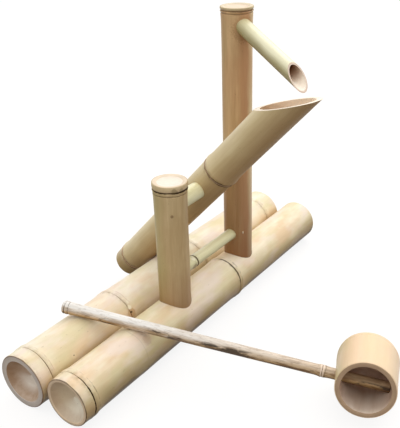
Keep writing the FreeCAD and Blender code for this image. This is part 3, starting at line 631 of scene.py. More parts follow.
def new_group(name, inputs, outputs):
    """A shader group with its graph and its inputs: points, which have no default, and numbers, which have one."""
    tree = bpy.data.node_groups.new(name, "ShaderNodeTree")
    for given, default in (("Place", None), *inputs):
        input_socket(tree, given, "NodeSocketVector" if default is None else "NodeSocketFloat", default)
    for output in outputs:
        tree.interface.new_socket(name=output, in_out="OUTPUT", socket_type="NodeSocketFloat")
    g = Graph(tree)
    return tree, g, g.node("NodeGroupInput").outputs


def grain_group(name):
    """Patterns of grown bamboo, read from a place in the culm."""
    outputs = ("Streaks", "Strokes", "Fibres", "Patches", "Second patches", "Third patches", "Specks", "Relief")
    tree, g, given = new_group(name, (("Seed", 0.0), ("Streak size", 130.0)), outputs)
    shift = g.node("ShaderNodeCombineXYZ", {0: given["Seed"], 1: given["Seed"], 2: given["Seed"]}).outputs[0]
    place = g.vector_math("ADD", given["Place"], shift)
    drawn = g.vector_math("MULTIPLY", place, (1, 1, 0.06))
    fine = g.vector_math("MULTIPLY", place, (1, 1, 0.02))
    patch = g.vector_math("MULTIPLY", place, (1, 1, 0.42))
    streaks = g.remap(g.noise(drawn, given["Streak size"], 3.0, 0.6), 0.34, 0.66)
    strokes = g.remap(g.noise(g.vector_math("ADD", drawn, (5, 2, 1)), 520.0, 3.0, 0.65), 0.36, 0.68)
    fibres = g.noise(fine, 1500.0, 2.0, 0.7)
    patches = g.remap(g.noise(patch, 30.0, 3.0, 0.55), 0.44, 0.6)
    second = g.remap(g.noise(g.vector_math("ADD", patch, (3, 1, 7)), 24.0, 3.0, 0.55), 0.46, 0.62)
    third = g.remap(g.noise(g.vector_math("ADD", patch, (8, 5, 2)), 34.0, 3.0, 0.55), 0.48, 0.64)
    spots = g.noise(g.vector_math("MULTIPLY", place, (1, 1, 0.4)), 420.0, 1.0)
    specks = g.remap(spots, 0.74, 0.79)
    relief = g.math("ADD", g.math("MULTIPLY", fibres, 0.5), g.math("MULTIPLY", strokes, 0.5))
    outputs = {0: streaks, 1: strokes, 2: fibres, 3: patches, 4: second, 5: third, 6: specks, 7: relief}
    g.node("NodeGroupOutput", outputs)
    return tree


def scar_group(name):
    """Line of a node's scar, the thin line on its ridge and the stain round both, along the culm."""
    inputs = (("At", 0.0), ("Half width", 0.8 * MM), ("Ridge", 6.5 * MM), ("Stain reach", 7 * MM))
    tree, g, given = new_group(name, inputs, ("Line", "Ridge line", "Stain"))
    place = given["Place"]
    along = g.node("ShaderNodeSeparateXYZ", {0: place}).outputs[2]
    wander = g.math("MULTIPLY", g.math("SUBTRACT", g.noise(place, 80.0, 3.0), 0.5), 2.2 * MM)
    past = g.math("SUBTRACT", g.math("ADD", along, wander), given["At"])
    gap = g.math("ABSOLUTE", past)
    width = g.math("MULTIPLY", given["Half width"], g.remap(g.noise(place, 60.0, 3.0), 0.3, 0.65, 0.65, 1.5))
    line = g.remap(g.math("DIVIDE", gap, width), 1.15, 0.65)
    second = g.math("ABSOLUTE", g.math("SUBTRACT", past, given["Ridge"]))
    second = g.remap(g.math("DIVIDE", second, g.math("MULTIPLY", width, 0.7)), 1.4, 0.4)
    second = g.math("MULTIPLY", second, g.remap(g.noise(place, 120.0, 3.0), 0.42, 0.6))
    stain = g.math("SUBTRACT", 1.0, g.math("DIVIDE", gap, given["Stain reach"]), clamp=True)
    stain = g.math("MULTIPLY", stain, g.remap(g.noise(place, 160.0, 3.0), 0.38, 0.66))
    g.node("NodeGroupOutput", {0: line, 1: second, 2: stain})
    return tree


def spot_group(name):
    """A round mark about a point of the culm."""
    tree, g, given = new_group(name, (("Centre", None), ("Radius", 2 * MM)), ("Mark",))
    gap = g.vector_math("DISTANCE", given["Place"], given["Centre"], output="Value")
    ragged = g.math("MULTIPLY", given["Radius"], g.remap(g.noise(given["Place"], 500.0, 2.0), 0.3, 0.7, 0.75, 1.25))
    g.node("NodeGroupOutput", {0: g.remap(g.math("DIVIDE", gap, ragged), 1.15, 0.75)})
    return tree


def side_group(name):
    """How much a place lies on one side of the culm, from 0 to 1."""
    tree, g, given = new_group(name, (("Turn", 0.0), ("Spread", 0.5)), ("Side",))
    split = g.node("ShaderNodeSeparateXYZ", {0: given["Place"]}).outputs
    turn = g.math("ARCTAN2", split[1], split[0])
    drift = g.math("MULTIPLY", g.math("SUBTRACT", g.noise(given["Place"], 14.0), 0.5), 0.9)
    facing = g.math("COSINE", g.math("ADD", g.math("SUBTRACT", turn, given["Turn"]), drift))
    low = g.math("SUBTRACT", 1.0, g.math("MULTIPLY", given["Spread"], 2.0))
    g.node("NodeGroupOutput", {0: g.remap(facing, low, 1.0)})
    return tree


def new_finish(name, roughness, gloss=0.3):
    """A material with its graph and its shader."""
    material = bpy.data.materials.new(name)
    material.use_nodes = True
    g = Graph(material.node_tree)
    shader = material.node_tree.nodes["Principled BSDF"]
    shader.inputs["Roughness"].default_value = roughness
    shader.inputs["Specular IOR Level"].default_value = gloss
    shader.inputs["Coat Roughness"].default_value = 0.3
    return material, g, shader


def culm_place(g):
    """A point's place in its own culm, with the axis on Z."""
    return g.node("ShaderNodeAttribute", attribute_type="GEOMETRY", attribute_name=PATTERN).outputs["Vector"]


def rgba(value, by=1.0):
    """A colour as a socket takes it, made lighter or darker."""
    return (*[part * by for part in value[:3]], 1.0)


def relieved(g, shader, height, distance):
    """Give a finish a fine relief."""
    bump = g.node("ShaderNodeBump", {"Height": height, "Distance": distance, "Strength": 0.5})
    g.feed(shader.inputs["Normal"], bump.outputs[0])


def grain_of(g, place, seed, streak_size=130.0):
    """The patterns of grown bamboo at a place."""
    return g.group("Bamboo grain", grain_group, {"Place": place, "Seed": seed, "Streak size": streak_size})


def side_of(g, place, degrees, spread):
    """How much a place lies on the side that faces this way."""
    inputs = {"Place": place, "Turn": math.radians(degrees), "Spread": spread}
    return g.group("Culm side", side_group, inputs)[0]


def marked(g, place, shade, marks):
    """Round marks over a colour: each a point of the culm, a radius, a colour and a share."""
    for centre, radius, tint, amount in marks:
        mark = g.group("Round mark", spot_group, {"Place": place, "Centre": centre, "Radius": radius})[0]
        shade = g.mix(g.math("MULTIPLY", mark, amount), shade, rgba(tint))
    return shade


def skin_finish(
    name, light, dark, seed, scar, rings=(), tints=(), over=(), patch=None, second=None, third=None, roughness=0.4,
    stain=7 * MM, streak=0.55, patch_share=0.6, streak_size=130.0, specks=0.3, strokes=0.16, gloss=0.15, marks=(),
    bands=(), polish=(-90, 0.35),
):
    """Skin of a culm: streaks along it, patches, scars at its nodes and fine fibres.

    rings are scars: distance, half width, share, distance to the ridge's line and the side in degrees where
    they are drawn wider as painted shade in their groove. tints and over are colours on one side, under and
    over the patches: colour, turn in degrees, spread and share; many of them paint shade on lower sides and
    highlights on upper sides. marks are round marks. bands are colours that fade in along the culm: colour,
    where it is full, where it begins and share. polish is the side in degrees that is smooth and glossy, and
    how much.
    """
    material, g, shader = new_finish(name, roughness, gloss)
    place = culm_place(g)
    grain = grain_of(g, place, seed, streak_size)
    shade = g.mix(g.math("MULTIPLY", grain["Streaks"], streak), rgba(light), rgba(dark))
    # Colours on one side under the patches, among them painted highlights and painted shade.
    for tint, turn, spread, amount in tints:
        shade = g.mix(g.math("MULTIPLY", side_of(g, place, turn, spread), amount), shade, rgba(tint))
    if patch is not None:
        shade = g.mix(g.math("MULTIPLY", grain["Patches"], patch_share), shade, rgba(patch))
    if second is not None:
        shade = g.mix(g.math("MULTIPLY", grain["Second patches"], patch_share), shade, rgba(second))
    if third is not None:
        shade = g.mix(g.math("MULTIPLY", grain["Third patches"], patch_share), shade, rgba(third))
    # Colours on one side over the patches, among them painted shade on the lower sides.
    for tint, turn, spread, amount in over:
        shade = g.mix(g.math("MULTIPLY", side_of(g, place, turn, spread), amount), shade, rgba(tint))
    along = g.node("ShaderNodeSeparateXYZ", {0: place}).outputs[2]
    for tint, full, begin, amount in bands:
        shade = g.mix(g.math("MULTIPLY", g.remap(along, begin, full), amount), shade, rgba(tint))
    shade = g.mix(g.math("MULTIPLY", grain["Strokes"], strokes), shade, (0.62, 0.55, 0.46, 1), blend="MULTIPLY")
    fibres = g.remap(grain["Fibres"], 0.35, 0.7, 0.0, strokes * 0.8)
    shade = g.mix(fibres, shade, (0.7, 0.62, 0.52, 1), blend="MULTIPLY")
    shade = g.mix(g.math("MULTIPLY", grain["Specks"], specks), shade, rgba(dark, 0.4))
    wear = None
    for at, half_width, amount, ridge, shade_side in rings:
        # A scar's line is drawn wider towards its shaded side, as painted shade in the groove.
        width = g.math("MULTIPLY", g.remap(side_of(g, place, shade_side, 0.5), 0.0, 1.0, 0.8, 1.5), half_width)
        inputs = {"Place": place, "At": at, "Half width": width, "Ridge": ridge, "Stain reach": stain}
        mark = g.group("Node scar", scar_group, inputs)
        shade = g.mix(g.math("MULTIPLY", mark["Stain"], amount * 0.6), shade, rgba(dark, 0.62))
        shade = g.mix(g.math("MULTIPLY", mark["Ridge line"], amount * 0.5), shade, rgba(scar, 2.2))
        shade = g.mix(g.math("MULTIPLY", mark["Line"], amount), shade, rgba(scar))
        wear = g.math("MAXIMUM", wear, mark["Line"]) if wear else mark["Line"]
    shade = marked(g, place, shade, marks)
    g.feed(shader.inputs["Base Color"], shade)
    rough = g.remap(grain["Streaks"], 0.0, 1.0, roughness - 0.07, roughness + 0.08)
    if wear:
        rough = g.math("ADD", rough, g.math("MULTIPLY", wear, 0.35), clamp=True)
    g.feed(shader.inputs["Roughness"], rough)
    smooth_side, amount = polish
    patchy = g.remap(grain["Streaks"], 0, 1, amount, amount * 0.6)
    g.feed(shader.inputs["Coat Weight"], g.math("MULTIPLY", side_of(g, place, smooth_side, 0.5), patchy))
    relieved(g, shader, grain["Relief"], 0.2 * MM)
    return material


def cut_finish(name, pale, edge, outer, wall=7 * MM, edge_share=0.7):
    """A sawn end: dots of the cut fibre bundles, closer and darker towards the skin."""
    material, g, shader = new_finish(name, 0.75, gloss=0.25)
    place = culm_place(g)
    flat = g.vector_math("MULTIPLY", place, (1, 1, 0.15))
    dots = g.node("ShaderNodeTexVoronoi", {"Vector": flat, "Scale": 900.0}).outputs["Distance"]
    split = g.node("ShaderNodeSeparateXYZ", {0: place}).outputs
    radius = g.math("SQRT", g.math("ADD", g.math("POWER", split[0], 2.0), g.math("POWER", split[1], 2.0)))
    near_skin = g.remap(radius, outer - wall, outer)
    rim = g.remap(radius, outer - 1.7 * MM, outer - 0.7 * MM)
    speck = g.remap(dots, 0.15, 0.42, 1.0, 0.0)
    cloud = g.remap(g.noise(place, 60.0, 3.0), 0.35, 0.65)
    shade = g.mix(g.math("MULTIPLY", cloud, 0.4), rgba(pale), rgba(pale, 0.74))
    shade = g.mix(g.math("MULTIPLY", near_skin, 0.3 * edge_share), shade, rgba(edge))
    shade = g.mix(g.math("MULTIPLY", speck, g.remap(near_skin, 0, 1, 0.1, 0.45 * edge_share)), shade, rgba(edge))
    shade = g.mix(g.math("MULTIPLY", rim, edge_share), shade, rgba(edge))
    g.feed(shader.inputs["Base Color"], shade)
    saw = g.noise(g.vector_math("MULTIPLY", place, (1, 0.06, 1)), 900.0, 2.0)
    relieved(g, shader, g.math("ADD", saw, speck), 0.12 * MM)
    return material


def hollow_finish(name, brown, pale, near, far, painted_lit_side=None, roughness=0.7, stains=0.4, band=None):
    """The inside of a culm: brown, which is painted shade, and paler towards one end and on a given side, which is
    painted light.

    band is a brown ring round the axis, partly the dish's own brown and partly painted shade on its steep
    outer wall: where it begins, where it is full, its colour and its share.
    """
    material, g, shader = new_finish(name, roughness, gloss=0.2)
    place = culm_place(g)
    grain = grain_of(g, place, 4.0)
    along = g.node("ShaderNodeSeparateXYZ", {0: place}).outputs[2]
    # Painted shade and painted light: brown deep in the hollow, paler towards one end and on the lit side.
    fade = g.remap(along, near, far)
    if painted_lit_side is not None:
        fade = g.math("MULTIPLY", fade, side_of(g, place, painted_lit_side, 0.62))
    shade = g.mix(fade, rgba(brown), rgba(pale))
    if band:
        begin, full, tint, amount = band
        flat = g.vector_math("MULTIPLY", place, (1, 1, 0))
        ring = g.remap(g.vector_math("LENGTH", flat, output="Value"), begin, full)
        uneven = g.remap(g.noise(place, 70.0, 3.0), 0.35, 0.6, 0.45, 1.0)
        shade = g.mix(g.math("MULTIPLY", g.math("MULTIPLY", ring, uneven), amount), shade, rgba(tint))
        shade = g.mix(g.math("MULTIPLY", grain["Specks"], 0.5), shade, rgba(tint, 0.4))
    shade = g.mix(g.math("MULTIPLY", grain["Streaks"], stains), shade, (0.72, 0.62, 0.52, 1), blend="MULTIPLY")
    shade = g.mix(g.math("MULTIPLY", grain["Patches"], stains), shade, (0.8, 0.7, 0.6, 1), blend="MULTIPLY")
    g.feed(shader.inputs["Base Color"], shade)
    relieved(g, shader, grain["Relief"], 0.2 * MM)
    return material


def cane_finish(name, settings, rings, inside):
    """Skin of the handle: whitish cane, tan with brown mottles and dirt below and where it is inside the cup.
    The tan on its lower side is partly painted shade, and the dark line along its lower edge is painted shade.

    rings are its scars: distance, half width, share and colour. inside is where it enters the cup.
    """
    material, g, shader = new_finish(name, 0.55, gloss=0.35)
    place = culm_place(g)
    grain = grain_of(g, place, 9.0, 300.0)
    along = g.node("ShaderNodeSeparateXYZ", {0: place}).outputs[2]
    long_place = g.vector_math("MULTIPLY", place, (1, 1, 0.12))
    under = side_of(g, place, -56.0, 0.45)
    # A tan wash on the lower side, partly painted shade.
    wash = g.math("MULTIPLY", under, g.remap(g.noise(long_place, 130.0, 3.0, 0.6), 0.3, 0.5))
    mottle = g.remap(g.noise(g.vector_math("ADD", long_place, (1, 3, 2)), 260.0, 4.0, 0.65), 0.47, 0.56)
    blob_place = g.vector_math("MULTIPLY", place, (1, 1, 0.28))
    dirt = g.remap(g.noise(g.vector_math("ADD", blob_place, (2, 4, 1)), 85.0, 4.0, 0.6), 0.5, 0.56)
    flecks = g.remap(g.noise(g.vector_math("MULTIPLY", place, (1, 1, 0.3)), 420.0, 3.0, 0.6), 0.56, 0.63)
    shade = g.mix(g.math("MULTIPLY", grain["Streaks"], 0.4), rgba(settings.cane), rgba(settings.cane_grey))
    toward_cup = g.remap(along, 0.12, 0.34)
    shade = g.mix(g.math("MULTIPLY", toward_cup, 0.55), shade, rgba(settings.cane_tan, 1.1))
    shade = g.mix(g.math("MULTIPLY", wash, 0.95), shade, rgba(settings.cane_tan))
    shade = g.mix(g.remap(along, inside - 2 * MM, inside + 4 * MM, 0.0, 0.7), shade, rgba(settings.cane_tan, 0.8))
    browned = g.math("ADD", g.remap(under, 0.1, 0.9, 0.05, 0.65), g.math("MULTIPLY", toward_cup, 0.35), clamp=True)
    shade = g.mix(g.math("MULTIPLY", mottle, browned), shade, rgba(settings.cane_brown))
    blotched = g.math("MULTIPLY", dirt, g.remap(under, 0.12, 0.5, 0.0, 0.92))
    shade = g.mix(blotched, shade, rgba(settings.cane_dirt))
    shade = g.mix(g.math("MULTIPLY", flecks, 0.25), shade, rgba(settings.cane_brown))
    # Painted shade: a dark line along the lower edge, stronger towards the cup.
    edge = g.math("MULTIPLY", side_of(g, place, -18.0, 0.32), g.remap(toward_cup, 0.0, 1.0, 0.35, 0.95))
    shade = g.mix(edge, shade, rgba(settings.cane_brown, 0.7))
    for at, half_width, amount, tint in rings:
        inputs = {"Place": place, "At": at, "Half width": half_width, "Ridge": NO_RIDGE}
        line = g.group("Node scar", scar_group, inputs)["Line"]
        shade = g.mix(g.math("MULTIPLY", line, amount), shade, rgba(tint))
    g.feed(shader.inputs["Base Color"], shade)
    relieved(g, shader, g.math("ADD", grain["Relief"], flecks), 0.25 * MM)
    return material


def plain_finish(name, light, dark, roughness, metallic=0.0, scale=300.0, stretch=(1, 1, 1)):
    """A small part's finish, mottled on its object's own coordinates."""
    material, g, shader = new_finish(name, roughness)
    place = g.vector_math("MULTIPLY", g.node("ShaderNodeTexCoord").outputs["Object"], stretch)
    mottle = g.remap(g.noise(place, scale, 3.0), 0.35, 0.65)
    g.feed(shader.inputs["Base Color"], g.mix(mottle, rgba(light), rgba(dark)))
    g.feed(shader.inputs["Roughness"], g.remap(mottle, 0, 1, roughness - 0.06, roughness + 0.08))
    shader.inputs["Metallic"].default_value = metallic
    relieved(g, shader, mottle, 0.05 * MM)
    return material


def scene_settings():
    """The sizes and colours that the scene holds."""
    return bpy.context.scene.shishi_odoshi


def pole_place(name):
    """Place of a level piece: its axis starts at its near end and runs along +Y of the frame."""
    low, high = node_box(name)
    lay_down = Matrix.Rotation(-math.pi / 2, 4, "X")
    return Matrix.Translation(((low.x + high.x) / 2, low.y, (low.z + high.z) / 2)) @ lay_down


def post_place(name):
    """Place of a post: its axis starts at its foot, over the front pole's axis."""
    low, high = node_box(name)
    return Matrix.Translation((pole_place("post_pole").translation.x, (low.y + high.y) / 2, low.z))


def round_place(radius, degrees, along):
    """A point on a culm's skin."""
    turn = math.radians(degrees)
    return (radius * math.cos(turn), radius * math.sin(turn), along)


def square_reach(axis):
    """How far a disc of radius 1 that is square to an axis reaches along X, Y and Z."""
    return [math.sqrt(max(0.0, 1 - part * part)) for part in axis]


def bud(radius, degrees, node):
    """The bump that a side shoot leaves beside a node."""
    return (node + 4 * MM, math.radians(degrees), 1.8 * MM, 3.4 * MM, 5.0 * MM, radius - 2 * MM)


class BUILD_OT_base_poles(bpy.types.Operator):
    """Build the front pole, which carries the posts, and the back pole, which is knocked on"""

    bl_idname = "shishi_odoshi.base_poles"
    bl_label = "Base poles"

    def execute(self, context):
        self.culm = context.scene.shishi_odoshi.culm
        self.base = context.scene.shishi_odoshi.base
        self.front_pole()
        self.back_pole()
        return {"FINISHED"}

    def pole(self, name, node, radius, wall, nodes, smooth_nodes, dish, rim, seed, bumps, neighbour):
        """A pole with its near end sawn just before a node, whose wall closes it as a dish.

        smooth_nodes are rubbed smooth, so that only their walls inside are left. dish goes from the middle out,
        in shares of rim and mm of depth. neighbour is the direction of the other pole.
        """
        culm = self.culm
        local = pole_place(node)
        low, high = node_box(node)
        end = high.y - low.y
        bore = radius - wall
        edge = radius - 0.6 * MM
        near_face = 0.2 * MM
        behind_dish = nodes[0] + NODE_WALL / 2
        radius_at = waisted(radius, nodes, end, culm.waist)
        shape = [(at, 1) for at in nodes if at not in smooth_nodes]
        outline = culm_outside(end - 0.5 * MM, radius_at, shape, culm.node_swell, culm.scar_depth, start=1.0 * MM)
        outline.insert(0, (edge, near_face))
        outline.append((edge, end))
        outline += inside_of(behind_dish, end, lambda z: bore, nodes[1:], NODE_WALL)
        outline.append((0, behind_dish))
        outline += [(rim * part, deep * MM) for part, deep in dish]
        outline += [(rim + 0.4 * MM, 0.25 * MM), (edge, near_face)]
        piece = grown_culm(name, outline, culm, seed)
        swollen(piece, bumps)
        ground = (0, 1, 0)
        pressed(piece, ground, local.translation.z - 0.05 * MM)
        pressed(piece, neighbour, radius + 0.2 * MM)
        return piece, local, end, radius_at

    def painted_low_shade(self, spread, amount, edge_amount):
        """Painted shade on a pole's side next to the ground, darker in three steps."""
        base = self.base
        wide = (base.shade, 45, spread, amount)
        return (wide, (base.deep_shade, 55, 0.14, 0.9), (base.lowest_shade, 60, 0.16, edge_amount))

    def front_pole(self):
        """The pole that carries the posts, with holes for them and for the screws from below."""
        culm = self.culm
        base = self.base
        radius = base.front_radius
        nodes = (16.7 * MM, 121.8 * MM, 350.9 * MM)
        dish = ((0.0, 14.0), (0.3, 13.5), (0.52, 12.0), (0.7, 9.4), (0.83, 6.2), (0.92, 3.2), (0.98, 1.2))
        bumps = [bud(radius, -96, nodes[1])]
        rim = radius - 4.4 * MM
        neighbour = [-part for part in TO_FRONT_POLE]
        piece, local, end, radius_at = self.pole(
            "front_pole", "post_pole", radius, base.front_wall, nodes, nodes[1:2], dish, rim, 1.7, bumps, neighbour
        )
        screw_hole = 2.4 * MM
        head_hole = 4.7 * MM
        head_seat = 30.6 * MM
        up, down = (0, -1, 0), (0, 1, 0)
        cutters = []
        for name, post_radius in all_posts():
            low, high = node_box(name)
            along = (low.y + high.y) / 2 - local.translation.y
            cutters.append(drill((0, 0, along), up, post_radius + FIT, 50 * MM))
            cutters.append(drill((0, 0, along), down, screw_hole, 50 * MM, 32))
            cutters.append(drill((0, head_seat, along), down, head_hole, 20 * MM, 32))
        carved(piece, cutters)
        rings = (
            (nodes[0], 0.8 * MM, 1.0, 7.5 * MM, 20), (nodes[1], 0.35 * MM, 0.15, 6.5 * MM, -90),
            (nodes[2], 1.0 * MM, 0.85, 6.5 * MM, -60), (0.2 * MM, 0.7 * MM, 0.7, NO_RIDGE, 0),
        )
        marks = (
            (round_place(radius, -96, nodes[1] + 5 * MM), 3.5 * MM, tone("E6CDA4"), 0.7),
            (round_place(radius, -46, nodes[1] + 11 * MM), 7.5 * MM, tone("C09C84"), 0.35),
            (round_place(radius, -93, nodes[1] + 5 * MM), 1.2 * MM, culm.scar, 0.8),
        )
        skin = skin_finish(
            "Front pole skin", base.light, base.dark, 1.0, culm.scar, rings=rings, patch=base.blush,
            second=base.green, third=base.bloom_and_sheen, patch_share=0.65, roughness=0.36, marks=marks, streak=0.35, gloss=0.05,
            # The pale tint on the upper side is a painted highlight; khaki and the low-side colours are painted shade.
            strokes=0.07, tints=((tone("F8EAD6"), -75, 0.25, 0.5), (base.khaki_shade, 35, 0.5, 0.7)),
            over=self.painted_low_shade(0.38, 0.85, 0.75),
        )
        cut = cut_finish("Front pole cut", tone("E6CDAE"), tone("7E5F48"), radius, wall=4.4 * MM, edge_share=0.8)
        # The dish's pale lower right is painted light; its brown ring is partly painted shade on the steep outer wall.
        hollow = hollow_finish(
            "Front pole dish", tone("D0BC9E"), tone("F3EAD6"), -40 * MM, 10 * MM, painted_lit_side=40, roughness=0.5,
            stains=0.2, band=(18 * MM, 27 * MM, tone("B4957A"), 0.55),
        )
        kinds = culm_kinds(radius_at, ends=(0.0, end))
        settle(piece, local, "base", ["post_pole"], [skin, cut, hollow], kinds)

    def back_pole(self):
        """The pole that the rocking tube knocks on."""
        culm = self.culm
        base = self.base
        radius = base.back_radius
        nodes = (20.5 * MM, 177.9 * MM, 364.9 * MM, 557.9 * MM)
        dish = (
            (0.0, 16.5), (0.25, 16.2), (0.45, 15.2), (0.6, 13.6), (0.72, 11.4), (0.82, 8.4), (0.9, 5.2), (0.97, 2.0),
            (1.0, 0.8),
        )
        bumps = [bud(radius, -47, nodes[1])]
        rim = radius - 8.4 * MM
        piece, local, end, radius_at = self.pole(
            "back_pole", "striking_pole", radius, base.back_wall, nodes, (), dish, rim, 5.2, bumps, TO_FRONT_POLE
        )
        soft_scar = tone("6C4428")
        rings = (
            (nodes[0], 0.45 * MM, 0.6, 6.0 * MM, 0), (nodes[1], 0.6 * MM, 0.85, 7.0 * MM, 0),
            (nodes[2], 0.5 * MM, 0.75, 6.5 * MM, 0), (nodes[3], 0.5 * MM, 0.75, 6.5 * MM, 0),
            (0.2 * MM, 0.7 * MM, 0.75, NO_RIDGE, 0),
        )
        nail_like = round_place(radius, -25.4, 62.9 * MM)
        marks = (
            (round_place(radius, -26, nodes[1] + 2 * MM), 7.5 * MM, tone("B4844E"), 0.5),
            (round_place(radius, -39, nodes[1] + 3 * MM), 3.6 * MM, tone("FFF6DC"), 0.85),
            (round_place(radius, -28, nodes[1] + 2 * MM), 1.8 * MM, culm.scar, 0.85),
            (nail_like, 4.5 * MM, tone("E6D2B4"), 0.5),
            (nail_like, 1.1 * MM, tone("2E2118"), 0.95),
        )
        skin = skin_finish(
            "Back pole skin", base.light, base.dark, 2.6, soft_scar, rings=rings, patch=base.peach,
            second=base.green, third=base.bloom_and_sheen, patch_share=0.65, roughness=0.38, marks=marks, streak=0.35, gloss=0.05,
            # The pale tint on the upper side is a painted highlight; the low-side colours are painted shade.
            strokes=0.08, tints=((base.blush, -20, 0.3, 0.35), (tone("FBF3E0"), -88, 0.36, 0.75)),
            over=self.painted_low_shade(0.36, 0.75, 0.6),
        )
        cut = cut_finish("Back pole cut", tone("D2C6BA"), tone("6E5240"), radius, wall=8.4 * MM, edge_share=0.8)
        # The dish's pale lower side is painted light; its brown ring is partly painted shade on the steep outer wall.
        hollow = hollow_finish(
            "Back pole dish", tone("C2A890"), tone("F0E6D8"), -20 * MM, 15 * MM, painted_lit_side=80, stains=0.3,
            band=(15 * MM, 25 * MM, tone("A47F5C"), 0.7),
        )
        kinds = culm_kinds(radius_at, ends=(0.0, end))
        settle(piece, local, "base", ["striking_pole"], [skin, cut, hollow], kinds)


def all_posts():
    """The posts' nodes with their radii."""
    posts = scene_settings().posts
    return (("short_post", posts.short_radius), ("tall_post", posts.tall_radius))


def post_outline(radius, height, posts, bore, collar, groove):
    """Half section of a post: its top stands out above a scar and a groove, and is closed by a sunken wall.

    The top's points go down from its end, in mm.
    """
    flare = radius + posts.flare
    line = collar / MM
    gap = groove / MM
    under = line + gap
    top = [
        (radius, 40), (radius + 0.1 * MM, line + 19), (radius + 0.3 * MM, line + 12), (radius + 0.7 * MM, under + 1.4),
        (radius + 0.6 * MM, under + 0.5), (radius + 0.05 * MM, under), (radius, under - 0.6),
        (radius + 0.4 * MM, under - 1.4), (flare - 0.4 * MM, line + gap * 0.53), (flare - 0.05 * MM, line + gap * 0.31),
        (flare - 0.3 * MM, line + 1.0), (flare - 1.5 * MM, line + 0.5), (flare - 1.6 * MM, line - 0.5),
        (flare - 0.4 * MM, line - 1.2), (flare, line - 2.0), (flare + 0.15 * MM, line * 0.45), (flare, 1.0),
        (flare - 0.35 * MM, 0.3), (flare - 1.0 * MM, 0), (radius - 3.4 * MM, 0), (radius - 4.1 * MM, 0.3),
        (bore - 0.4 * MM, 1.2), (bore - 2.0 * MM, 1.9), (bore * 0.5, 2.2), (0, 2.3), (0, 5.5), (bore - 3 * MM, 5.5),
        (bore, 8.5),
    ]
    top = [(across, height - down * MM) for across, down in top]
    steps = int((height - 40 * MM) / (9 * MM))
    lower = [(radius - 0.15 * MM, 0.6 * MM + (height - 41 * MM) * i / steps) for i in range(steps)]
    return [(radius - 0.6 * MM, 0.0)] + lower + top + [(bore, 0.0), (radius - 0.6 * MM, 0.0)]


